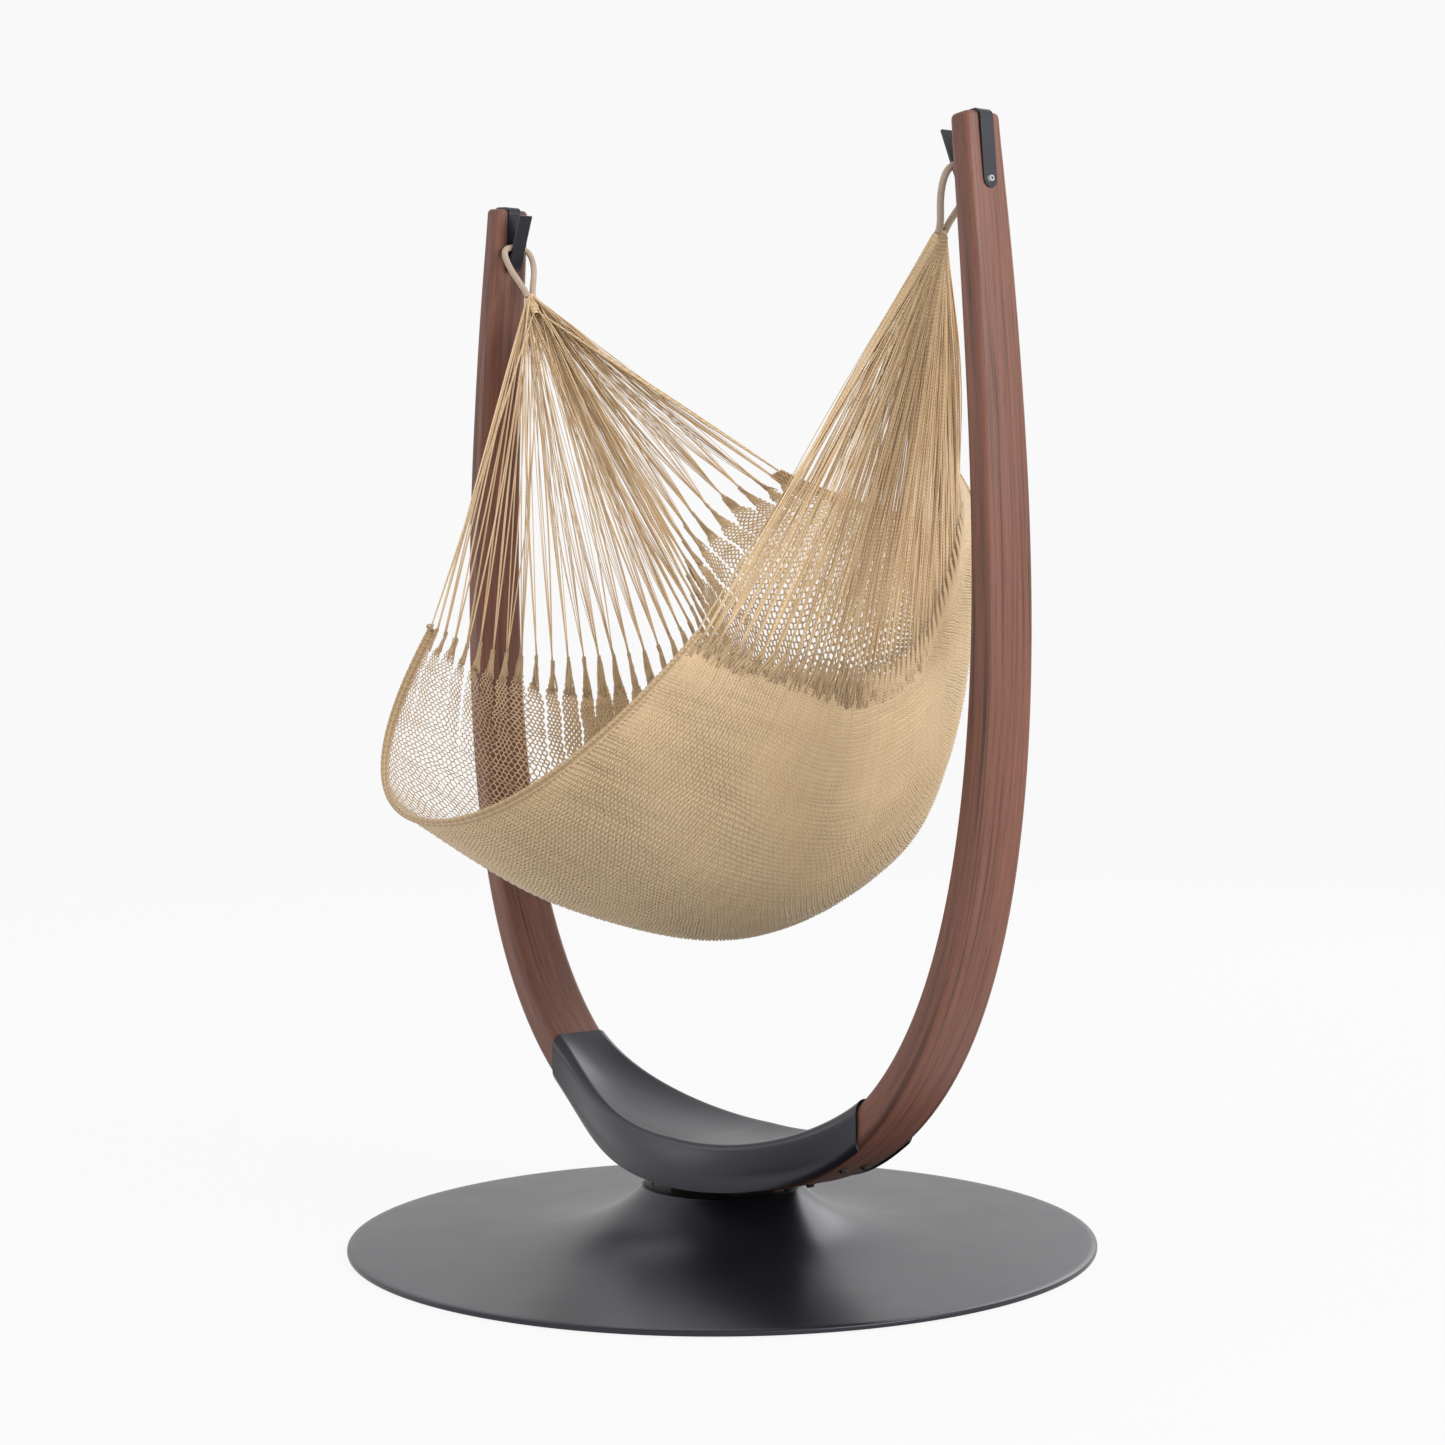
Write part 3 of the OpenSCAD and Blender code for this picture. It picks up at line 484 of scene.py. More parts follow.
def make_close_net(name, colour):
    """Cotton yarn worked close, its cords side by side: matt, with fine wavy courses, darkened to 0.6 to 0.85
    of the yarn as painted shade of the gaps between its cords.
    lay is the cloth's own place: across and along it, in metres."""
    material, tree, shader = new_material(name, {
        "Roughness": 0.9, "IOR": 1.46, "Sheen Weight": 0.2, "Sheen Roughness": 0.5})
    lay = add_node(tree, "ShaderNodeAttribute", attribute_name="lay")
    # its threads lie about 1.2 mm apart under the cords: bands repeat every 2 pi / 20 of a scaled unit
    grown = add_node(tree, "ShaderNodeMapping", {"Scale": (40.0, 260.0, 1.0)}, {"Vector": (lay, "Vector")})
    rows = add_node(tree, "ShaderNodeTexWave", {"Scale": 1.0, "Distortion": 4.0, "Detail": 2.0},
                    {"Vector": (grown, 0)}, wave_type="BANDS", bands_direction="Y")
    place = add_node(tree, "ShaderNodeTexCoord")
    fuzz = add_node(tree, "ShaderNodeTexNoise", {"Scale": 500.0, "Detail": 4.0},
                    {"Vector": (place, "Object")})
    # painted shade: the cloth shows between the cords, so it is darker than the yarn, and darkest between its
    # threads
    tone = ramp(tree, rows, "Fac", [(0.0, shade(colour, 0.6)), (1.0, shade(colour, 0.85))])
    mixed = add_node(tree, "ShaderNodeMath", {1: 0.6}, {0: (rows, "Fac"), 2: (fuzz, "Fac")},
                     operation="MULTIPLY_ADD")
    bump = add_node(tree, "ShaderNodeBump", {"Strength": 0.6, "Distance": 0.0008}, {"Height": (mixed, 0)})
    tree.links.new(tone.outputs["Color"], shader.inputs["Base Color"])
    tree.links.new(bump.outputs["Normal"], shader.inputs["Normal"])
    return material


class HAMMOCK_OT_materials(bpy.types.Operator):
    """Make the materials and dress the CAD parts that stay."""

    bl_idname = "hammock.materials"
    bl_label = "Materials"

    def execute(self, context):
        s = settings()
        make_powder_coat("Satin black powder coat on steel", tuple(s.coat))
        make_metal("Zinc plated steel", linear("#a9aaac"), 0.30, 1.5)
        make_metal("Blackened steel", linear("#3a3634"), 0.40, 1.0)
        make_metal("Stamped brass", linear("#c8a760"), 0.32, 1.0)
        make_rubber("Moulded black rubber", linear("#1b1b1c"))
        make_timber("Oiled bent walnut", tuple(s.timber), tuple(s.timber_dark), True)
        make_timber("Turned beech", linear("#c79b6c"), linear("#a67a50"), False)
        # the length of each cord's twist in millimetres, and its plies
        make_yarn("Plied cotton yarn", tuple(s.yarn), 5.0, 3)
        make_yarn("Plied nettle string", shade(tuple(s.yarn), 1.2), 6.0, 2)
        make_yarn("Plied band cord", shade(tuple(s.yarn), 0.92), 15.0, 2)
        make_yarn("Braided eye rope", tuple(s.rope), 3.0, 1)
        make_close_net("Close net of cotton yarn in painted shade", tuple(s.yarn))
        slots = {
            "black_coat": "Satin black powder coat on steel", "zinc_steel": "Zinc plated steel",
            "cage_brass": "Stamped brass", "foot_rubber": "Moulded black rubber",
            "walnut": "Oiled bent walnut", "beech": "Turned beech",
            "yarn": "Plied cotton yarn", "eye_rope": "Braided eye rope"}
        for part in frame["record"]["subparts"]:
            obj = frame["nodes"][part["node"]]
            blackened = part["node"] in ("hook_inner_screws", "arm_bolts", "arm_washers")
            material = bpy.data.materials["Blackened steel" if blackened else slots[part["material_slot"]]]
            for place in obj.material_slots:
                place.material = material
            if not obj.material_slots:
                obj.data.materials.append(material)
        return {"FINISHED"}


# ---------- base ----------
def disc_height(r):
    """Height of the disc's upper surface at radius r, in millimetres."""
    f = (DISC_R - r) / (DISC_R - NECK_R)
    return RIM_Z + CONE_RISE * f + (NECK_Z - RIM_Z - CONE_RISE) * f ** NECK_SWEEP


def disc_profile():
    """The spun sheet's closed outline, as (radius, height) points in millimetres: the flange, the neck's lip,
    the cone, the rolled rim and back along the underside."""
    bore = NECK_R - FLANGE_W
    # the rows lie closer together at the neck, where the sheet curves most
    radii = NECK_R + (DISC_R - RIM_R - NECK_R) * (np.arange(1, DISC_ROWS + 1) / DISC_ROWS) ** 1.6
    turn = np.radians([0, 20, 40, 60, 80])
    lip = [(NECK_R - LIP_R + LIP_R * math.sin(a), NECK_Z - LIP_R + LIP_R * math.cos(a)) for a in turn]
    rim = [(DISC_R - RIM_R + RIM_R * math.sin(a), RIM_Z - RIM_R + RIM_R * math.cos(a)) for a in turn[1:]]
    foot = [(DISC_R, RIM_FOOT + 1.5), (DISC_R - 0.6, RIM_FOOT), (DISC_R - SHEET_T, RIM_FOOT)]
    above = [(r, disc_height(r)) for r in radii[1:-1]]
    below = [(r - 1, disc_height(r) - SHEET_T) for r in radii[:-1][::-4]]
    flange = [(bore, NECK_Z - SHEET_T), (bore, NECK_Z)]
    return np.array(flange + lip + above + rim + foot + below + flange[:1])


class HAMMOCK_OT_base(bpy.types.Operator):
    """Spin the steel disc: a rolled rim, a gentle cone and a neck with a rounded lip."""

    bl_idname = "hammock.base"
    bl_label = "Base disc"

    def execute(self, context):
        profile = disc_profile() * MM
        a = 2 * math.pi * np.arange(DISC_SIDES) / DISC_SIDES
        points = np.stack([
            profile[:, 0, None] * np.cos(a), profile[:, 0, None] * np.sin(a),
            np.broadcast_to(profile[:, 1, None], (len(profile), DISC_SIDES))], -1).reshape(-1, 3)
        quads = grid_quads(len(profile), DISC_SIDES, closed=True)[:, ::-1]
        disc = mesh_object("spun_disc", points, quads, "base",
                           "Satin black powder coat on steel")
        weld(disc)
        sharpen(disc, 50)
        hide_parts("base_shell")
        return {"FINISHED"}


def weld(obj, distance=1e-6):
    """Merges points that lie on each other, so that a mesh closes."""
    work = bmesh.new()
    work.from_mesh(obj.data)
    bmesh.ops.remove_doubles(work, verts=work.verts, dist=distance)
    bmesh.ops.recalc_face_normals(work, faces=work.faces)
    work.to_mesh(obj.data)
    work.free()


def drop_loose(obj):
    """Removes points that no face uses."""
    work = bmesh.new()
    work.from_mesh(obj.data)
    loose = [v for v in work.verts if not v.link_faces]
    bmesh.ops.delete(work, geom=loose, context="VERTS")
    bmesh.ops.recalc_face_normals(work, faces=work.faces)
    work.to_mesh(obj.data)
    work.free()


def sharpen(obj, degrees):
    """Keeps edges sharp where the faces turn by more than the angle."""
    obj.data.set_sharp_from_angle(angle=math.radians(degrees))


# ---------- timber arms ----------
def arm_thick(t):
    """The arm's thickness at place t, which thins fastest near the bottom."""
    return ARM_THICK[0] - (ARM_THICK[0] - ARM_THICK[1]) * (1 - (1 - t) ** 3)


def arm_wide(t):
    """The arm's width at place t."""
    return ARM_WIDTH[0] + (ARM_WIDTH[1] - ARM_WIDTH[0]) * t


def arm_frame(t):
    """Points on the arm's outer line, unit directions along it, and unit directions to the U's inside."""
    t = np.asarray(t, float)
    e = 0.0005
    p = spline(ARM_LINE, t)
    d = unit(spline(ARM_LINE, np.clip(t + e, 0, 1)) - spline(ARM_LINE, np.clip(t - e, 0, 1)))
    d[t > 0.999] = unit(ARM_LINE[5] - ARM_LINE[4])
    return p, d, np.stack([-d[:, 1], d[:, 0]], -1)


def rounded_section(w, h, r, middle, steps=7):
    """A rounded rectangle as (across, through) points."""
    out = []
    for sx, sy, start in ((1, 1, 0), (-1, 1, 90), (-1, -1, 180), (1, -1, 270)):
        for k in range(steps + 1):
            a = math.radians(start + 90 * k / steps)
            out.append((sx * (w / 2 - r) + r * math.cos(a), middle + sy * (h / 2 - r) + r * math.sin(a)))
    return np.array(out)


def arm_points():
    """Rings of points of one arm, in metres, and the arm's own coordinates of each point."""
    places = np.linspace(ARM_START, 0.99, ARM_ROWS)
    # each ring: its place, how far it is inset and how far it lies back from the tip
    tips = [(1.0, ARM_TIP_ROUND * (1 - math.cos(a)), ARM_TIP_ROUND * (1 - math.sin(a)))
            for a in np.radians(np.linspace(0, 90, 8))]
    plan = [(t, 0.0, 0.0) for t in places] + tips
    p, d, n = arm_frame([row[0] for row in plan])
    run = lengths_along(p)
    rings, grains = [], []
    for k, (t, inset, back) in enumerate(plan):
        thick = arm_thick(t)
        section = rounded_section(arm_wide(t) - 2 * inset, thick - 2 * inset,
                                  max(ARM_EDGE_R - inset, ARM_TIP_EDGE_R), thick / 2)
        x = p[k, 0] + n[k, 0] * section[:, 1] - d[k, 0] * back
        z = p[k, 1] + n[k, 1] * section[:, 1] - d[k, 1] * back
        z = np.where(x < ARM_FLAT[0], np.maximum(z, ARM_FLAT[1]), z)
        rings.append(np.stack([x, section[:, 0], z], -1))
        grains.append(np.stack([section[:, 0], section[:, 1], np.full(len(section), run[k] - back)], -1))
    end, end_grain = rings[-1], grains[-1]
    middle, middle_grain = end.mean(axis=0), end_grain.mean(axis=0)
    # the tip's flat end is closed by ever smaller rings
    for f in (0.6, 0.25, 0.001):
        rings.append(middle + (end - middle) * f)
        grains.append(middle_grain + (end_grain - middle_grain) * f)
    return np.array(rings) * MM, np.array(grains) * MM


class HAMMOCK_OT_arms(bpy.types.Operator):
    """Bend the two timber arms, with their grain along them."""

    bl_idname = "hammock.arms"
    bl_label = "Timber arms"

    def execute(self, context):
        rings, grains = arm_points()
        quads = grid_quads(rings.shape[0], rings.shape[1], closed=True)
        # each arm is cut from its own place in the board, so their streaks differ
        for side, sign, board in (("right", 1, [0.37, 0.21, 5.0]), ("left", -1, [0.0, 0.0, 0.0])):
            points = rings.reshape(-1, 3) * [sign, 1, 1]
            arm = mesh_object("bent_arm_" + side, points, quads[:, ::-sign], "stand",
                              "Oiled bent walnut", {"grain": grains.reshape(-1, 3) + board})
            sharpen(arm, 60)
            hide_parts("arm_" + side)
        return {"FINISHED"}


# ---------- saddle cover ----------
def mix(a, b, f):
    """From a to b by the share f."""
    return np.asarray(a, float) + (np.asarray(b, float) - np.asarray(a, float)) * f


def cover_section(t):
    """The cover's section at place t, as (across, through) points of its outer and its inner face. It is wide
    and dished at the middle, and wraps round the timber at the ends."""
    f = abs(t) / COVER_END
    mid = (1 + math.cos(math.pi * f)) / 2
    h, hw, stand_off = arm_thick(abs(t)), arm_wide(abs(t)) / 2, COVER_GAP + COVER_WALL

    top, wrap = h + stand_off, ARM_EDGE_R + stand_off
    rise = stand_off + (COVER_RISE - stand_off) * (1 - f ** 3)
    rim = float(mix(wrap, 2 * COVER_WALL, mid))
    corner = np.array([float(mix(hw - ARM_EDGE_R, COVER_HALF[0] - 2 * COVER_WALL, mid)), h + rise - rim])
    shares = np.arange(DISH_STEPS + 1) / DISH_STEPS
    dish = [np.array([corner[0] * share, float(mix(top, h + rise, share ** COVER_DISH))]) for share in shares]
    start = np.array([corner[0] + rim, corner[1]])
    foot = np.array([hw - ARM_EDGE_R, ARM_EDGE_R], float)
    side, side_in = [], []
    for g in np.arange(1, SKIRT_STEPS + 1) / SKIRT_STEPS:
        # at the ends the skirt runs straight for 0.6 of its steps and then turns in under the timber
        turn = math.radians(-COVER_TUCK * max(0, (g - 0.6) / 0.4))
        at_end = mix(start, foot + wrap * np.array([math.cos(turn), math.sin(turn)]), min(1, g / 0.6))
        at_mid = mix(start, (COVER_HALF[1], SKIRT_FOOT), g) + [SKIRT_BOW * math.sin(math.pi * g), 0]
        p = mix(at_end, at_mid, mid)
        inward = turn * (1 - mid)
        side.append(p)
        side_in.append(p - COVER_WALL * np.array([math.cos(inward), math.sin(inward)]))
    arc = [np.array([math.cos(a), math.sin(a)]) for a in np.radians([80, 65, 50, 35, 20, 0])]
    round_out = [corner + rim * direction for direction in arc]
    round_in = [corner + (rim - COVER_WALL) * direction for direction in arc]
    outer = np.array(dish + round_out + side)
    inner = np.array([p - [0, COVER_WALL] for p in dish] + round_in + side_in)
    return outer, inner


class HAMMOCK_OT_saddle(bpy.types.Operator):
    """Press the saddle cover: dished at the middle, wrapped round the timber at its ends."""

    bl_idname = "hammock.saddle"
    bl_label = "Saddle cover"

    def execute(self, context):
        rows = []
        for k in range(COVER_ROWS + 1):
            t = COVER_END * (2 * k / COVER_ROWS - 1)
            outer, inner = cover_section(t)
            ring = np.concatenate([outer[::-1][:-1] * [-1, 1], outer, inner[::-1], inner[1:] * [-1, 1]])
            slant = COVER_SLANT * abs(t) / COVER_END * (ring[:, 1] / arm_thick(abs(t)) - 0.5)
            p, _, n = arm_frame(np.clip(abs(t) + slant, 0, 1))
            x = p[:, 0] + n[:, 0] * ring[:, 1]
            z = p[:, 1] + n[:, 1] * ring[:, 1]
            rows.append(np.stack([x if t >= 0 else -x, -ring[:, 0], z], -1))
        rows = np.array(rows) * MM
        n = rows.shape[1]
        quads = grid_quads(COVER_ROWS + 1, n, closed=True)
        caps = []
        for first in (0, COVER_ROWS * n):
            for i in range(n // 2 - 1):
                face = [first + i, first + i + 1, first + n - 2 - i, first + n - 1 - i]
                caps.append(face[::-1] if first == 0 else face)
        cover = mesh_object("pressed_saddle", rows.reshape(-1, 3), np.concatenate([quads, caps]), "stand",
                            "Satin black powder coat on steel")
        weld(cover)
        sharpen(cover, 50)
        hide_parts("saddle_cover")
        return {"FINISHED"}


# ---------- net ----------
NET_EDGE = 0.87          # where the net's zigzags stop and its tassels begin, across the bed
CORD_END = 0.985         # where the cords of the net end, inside the tassels
FRONT_EDGE, BACK_EDGE = 0.012, 0.988
LEFT_GROUP, RIGHT_GROUP = 7, 4   # courses in one tassel
NET_PANELS = ("net_front", "net_open", "net_seat", "net_rise", "net_back")
PANEL_ENDS = (0.0, 0.24, 0.46, 0.64, 0.82, 1.0)
WAVE_POINTS = 4          # points in one zigzag of a cord
RIDGE = 1.8              # how far the rows of crossings stand up where the net is close
BACKING_ROWS, BACKING_COLUMNS = 150, 170


def openness(u, v):
    """1 where the net is spread open at the front left, about a half where it is thin at the back left,
    0 where its cords lie close."""
    front = (1 - smooth(-0.16, 0.04, u + 0.25 * v)) * (1 - smooth(0.17, 0.43, v))
    back = 0.62 * (1 - smooth(-0.35, 0.0, u)) * smooth(0.58, 0.74, v)
    return front + back


def net_point(u, v, lift=0.0):
    """A point of the net in metres, with the cloth's slight folds; lift is in millimetres, into the bag."""
    wave = 2.2 * ripple(u, v, 3, 1.4) + 1.4 * ripple(u, v, 5, 3.0)
    edge = smooth(0, 0.04, v) * (1 - smooth(0.96, 1, v))
    return (bed(u, v) + bed_normal(u, v) * (wave * edge + lift)[..., None]) * MM


def course_pitch():
    """The distance between courses, as a share of the bed from its front to its back."""
    return (BACK_EDGE - FRONT_EDGE) / settings().courses


def gathering(u, own):
    """How far the courses have drawn together into their tassels at the places u, 0 to 1: slowly over the
    net, by an amount of each tassel's own, and quickly at the tassels' roots."""
    far = np.abs(u)
    left = (0.15 * own * smooth(0.35, 0.80, far) + 0.58 * smooth(0.76, 0.87, far)
            + 0.2 * smooth(0.87, 1, far))
    right = (0.06 * own * smooth(0.6, 0.85, far) + 0.55 * smooth(0.84, 0.94, far)
             + 0.2 * smooth(0.94, 1, far))
    return np.minimum(np.where(u < 0, left, right), 0.93)


def course_places(j, u):
    """Where the courses j lie from the front edge to the back at the places u: they draw together
    into the tassels at both sides."""
    pitch = course_pitch()
    plain = FRONT_EDGE + (j + 0.5) * pitch
    group = np.where(u < 0, LEFT_GROUP, RIGHT_GROUP)
    number = np.floor(j / group)
    middle = FRONT_EDGE + (number + 0.5) * group * pitch
    own = 1 + np.sin(number * 2.4) + 0.6 * np.sin(number * 5.1)
    return plain + (middle - plain) * gathering(u, own)


def net_courses(first, last):
    """Some of the net's zigzag cords, as tubes: six-sided meshes where it is open, and rows of
    crossings that stand up as ridges where it is close."""
    s = settings()
    count = WAVE_POINTS * s.waves + 1
    u = np.linspace(-CORD_END, CORD_END, count)
    j = np.arange(first, last)
    pitch = course_pitch()
    zig = np.where(np.arange(count) % WAVE_POINTS < WAVE_POINTS // 2, 0.5, -0.5)
    # every other point of a close course stands up, which makes rows across the courses
    row = np.where(np.arange(count) % 2 == 0, 1.0, -1.0)
    uu, jj = np.meshgrid(u, j)
    share = jj / s.courses
    far = np.abs(uu)
    wide = openness(uu, course_places(jj, uu))
    calm = 1 - smooth(NET_EDGE - 0.06, NET_EDGE + 0.02, far)
    # the crossings wander in slow and in fine waves
    uu = uu + (0.006 * ripple(uu, share, 23, 2.6) + 0.0028 * ripple(uu, share, 25, 11.0)) * calm
    # neighbouring courses zigzag opposite ways, which makes the meshes; the zigzag fades where they are close
    way = np.where(jj % 2 == 0, 1, -1)
    side = way * zig * calm * (0.12 + 0.86 * np.minimum(1, 1.4 * wide))
    wobble = (0.35 + 0.4 * wide) * ripple(uu, share, 11, 5.0) * pitch
    v = np.clip(course_places(jj, uu) + 0.98 * side * pitch + wobble * calm, FRONT_EDGE, BACK_EDGE)
    ridge = row * (1 - wide) * calm * (0.75 + 0.35 * ripple(uu, share, 29, 2.0))
    paths = net_point(uu, v, RIDGE * ridge + (0.15 + 0.3 * wide) * zig * way)
    own = np.random.default_rng(21).uniform(0, 1, s.courses)[first:last, None]
    radius = (s.close_cord + (s.open_cord - s.close_cord) * wide) * (1 + 0.5 * (own - 0.5) * wide)
    radius = radius * (1 - 0.35 * smooth(NET_EDGE - 0.06, CORD_END, far))
    # from outside the bag the rows that stand inwards are in shade
    root_shade = 0.35 * smooth(NET_EDGE - 0.05, NET_EDGE + 0.03, far)
    tone = np.clip(0.55 + 0.25 * own - 0.28 * ridge - root_shade, 0, 1)
    return tubes(paths, radius, bed_normal(uu, v), sides=4, tone=tone)


def close_backing():
    """The close part of the net as one thin cloth under its cords, darker than them as painted shade in the
    gaps: points, faces and its own places.
    """
    reach = NET_EDGE - 0.03
    u, v = np.meshgrid(np.linspace(-reach, reach, BACKING_COLUMNS), np.linspace(0.01, 0.99, BACKING_ROWS))
    front = net_point(u, v, np.full(u.shape, 0.5)).reshape(-1, 3)
    back = net_point(u, v, np.full(u.shape, -0.5)).reshape(-1, 3)
    # it ends in streaks along the courses, and before they draw together at the left
    thin = openness(u, v) * (1 + 0.8 * swell(31 * v, 101))
    closed = ((thin < 0.05) & (u > -0.75)).reshape(-1)
    quads = grid_quads(BACKING_ROWS, BACKING_COLUMNS)
    quads = quads[closed[quads].all(axis=1)]
    count = BACKING_ROWS * BACKING_COLUMNS
    edges = np.concatenate([quads[:, [0, 1]], quads[:, [1, 2]], quads[:, [2, 3]], quads[:, [3, 0]]])
    _, index, uses = np.unique(np.sort(edges, axis=1), axis=0, return_index=True, return_counts=True)
    border = edges[index[uses == 1]]
    rim = np.stack([border[:, 1], border[:, 0], border[:, 0] + count, border[:, 1] + count], -1)
    faces = np.concatenate([quads, quads[:, ::-1] + count, rim])
    # metres across and along, from the bed's own size
    lay = np.stack([u.ravel() * 0.7, v.ravel() * 1.4, 0 * u.ravel()], -1)
    return np.concatenate([front, back]), faces, {"lay": np.concatenate([lay, lay])}


class HAMMOCK_OT_net(bpy.types.Operator):
    """Work the net in zigzag cords, open at the front left and close elsewhere, over its close backing."""

    bl_idname = "hammock.net"
    bl_label = "Net"

    def execute(self, context):
        ends = (np.array(PANEL_ENDS) * settings().courses).astype(int)
        for k, name in enumerate(NET_PANELS):
            points, quads, data = net_courses(ends[k], ends[k + 1])
            mesh_object(name, points, quads, "hammock", "Plied cotton yarn", data)
        points, faces, data = close_backing()
        cloth = mesh_object("net_close_backing", points, faces, "hammock",
                            "Close net of cotton yarn in painted shade", data)
        drop_loose(cloth)
        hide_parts("hammock_bed")
        return {"FINISHED"}


# ---------- tassels ----------
# each side of the hammock, the courses in one tassel, the strands in it, its base tone, kept low as a painted
# shade of the locks, and how far the tips lie from the bed's side edge towards the throat, in millimetres
TASSEL_SIDES = (("left", -1, LEFT_GROUP, 20, 0.28, (-6, 8)), ("right", 1, RIGHT_GROUP, 11, 0.16, (-14, 4)))
STRAND_POINTS = 12
STRAND_R = ([0, 0.5, 1], [1.1, 1.25, 0.85])   # a strand's radius at its root, its middle and its tip
BINDING_TURNS, BINDING_POINTS, BINDING_R, BINDING_LENGTH, BINDING_CORD_R = 4, 10, 2.4, 7, 0.9


def fan_start(sign):
    """The foot of the throat's whipping on one side, in millimetres."""
    return (SEAT + EYE_DIR * (WHIPPING_FROM + WHIPPING_LENGTH)) * [sign, 1, 1]


def tassel_tips(sign, group, reach):
    """Middle places and tip points of the tassels of one side, and the fan's start, in millimetres."""
    count = settings().courses // group
    rng = np.random.default_rng(40 + group)
    middle = FRONT_EDGE + (np.arange(count) + 0.5) * group * course_pitch()
    edge = bed(sign * np.ones(count), middle)
    start = fan_start(sign)
    pull = unit(start - edge)
    return middle, edge + pull * rng.uniform(*reach, count)[:, None], start


def tip_bindings(tips, start):
    """Close turns of yarn round the tip of each tassel."""
    a = 2 * math.pi * np.linspace(0, BINDING_TURNS, BINDING_TURNS * BINDING_POINTS + 1)
    along = unit(start - tips)
    side = unit(np.cross(along, [0.0, 1.0, 0.0]))
    other = np.cross(along, side)
    rise = np.linspace(-BINDING_LENGTH, 0, len(a))
    paths = (tips[:, None] + rise[None, :, None] * along[:, None]
             + BINDING_R * np.cos(a)[None, :, None] * side[:, None]
             + BINDING_R * np.sin(a)[None, :, None] * other[:, None])
    return tubes(paths * MM, BINDING_CORD_R * MM, along[:, None], sides=4, tone=np.full(len(tips), 0.3))


class HAMMOCK_OT_tassels(bpy.types.Operator):
    """Gather the net's courses into tassels at both sides, each bound at its tip."""

    bl_idname = "hammock.tassels"
    bl_label = "Tassels"

    def execute(self, context):
        steps = np.linspace(0, 1, STRAND_POINTS)
        for name, sign, group, copies, dark, reach in TASSEL_SIDES:
            middle, tips, start = tassel_tips(sign, group, reach)
            rng = np.random.default_rng(50 + group)
            strands, tones = [], []
            for v0, tip in zip(middle, tips):
                toward = unit(start - tip)
                own = rng.uniform(-0.1, 0.15)
                for copy in range(copies):
                    root_u = np.array(sign * (NET_EDGE - rng.uniform(-0.03, 0.07)))
                    share = ((copy + 0.5) / copies - 0.5) * (1 - gathering(root_u, 1.0))
                    v = np.array(np.clip(v0 + share * group * course_pitch(), FRONT_EDGE, BACK_EDGE))
                    root = bed(root_u, v)
                    lead = unit(root - bed(root_u - sign * 0.03, v))
                    gap = np.linalg.norm(tip - root)
                    spot = tip + rng.normal(0, 1.3, 3)
                    strands.append(bezier(root, root + lead * gap * 0.3, spot - toward * gap * 0.45, spot,
                                          steps[:, None]))
                    # the low tones paint the shade inside the tassels' locks
                    tones.append(np.clip(dark + own + rng.uniform(-0.1, 0.2), 0, 1))
            lay = tubes(np.array(strands) * MM, np.interp(steps, *STRAND_R) * MM, [0.13, 0.97, 0.21],
                        sides=4, tone=tones)
            points, quads, data = joined([lay, tip_bindings(tips, start)])
            mesh_object("tassels_" + name, points, quads, "hammock", "Plied cotton yarn", data)
        return {"FINISHED"}


# ---------- nettles ----------
STRING_POINTS = 22
STRING_DEPTH = 7.0       # how far a fan's strings lie before and behind its middle
STRING_SAG = (6.0, 700)  # the most that a string sags, and the length at which it does
TUCK, SHOULDER = 1, 9    # where a string starts and where it comes over the whipping, below the throat
RIGHT_STRINGS = 14       # strings from one tassel of the right side
# the left fan has few thick strings at its front and many thin ones at its back: places, number, thickness
LEFT_STRINGS = ([0.12, 0.25, 0.4, 0.6, 1], [2, 4, 8, 15, 16])
LEFT_THICKNESS = ([0.15, 0.32], [1.75, 0.9])


def nettle_plan(sign, place):
    """How many strings leave a tassel at its place from the front to the back, and how thick they are."""
    if sign > 0:
        return RIGHT_STRINGS, 1.0
    return round(float(np.interp(place, *LEFT_STRINGS))), float(np.interp(place, *LEFT_THICKNESS))


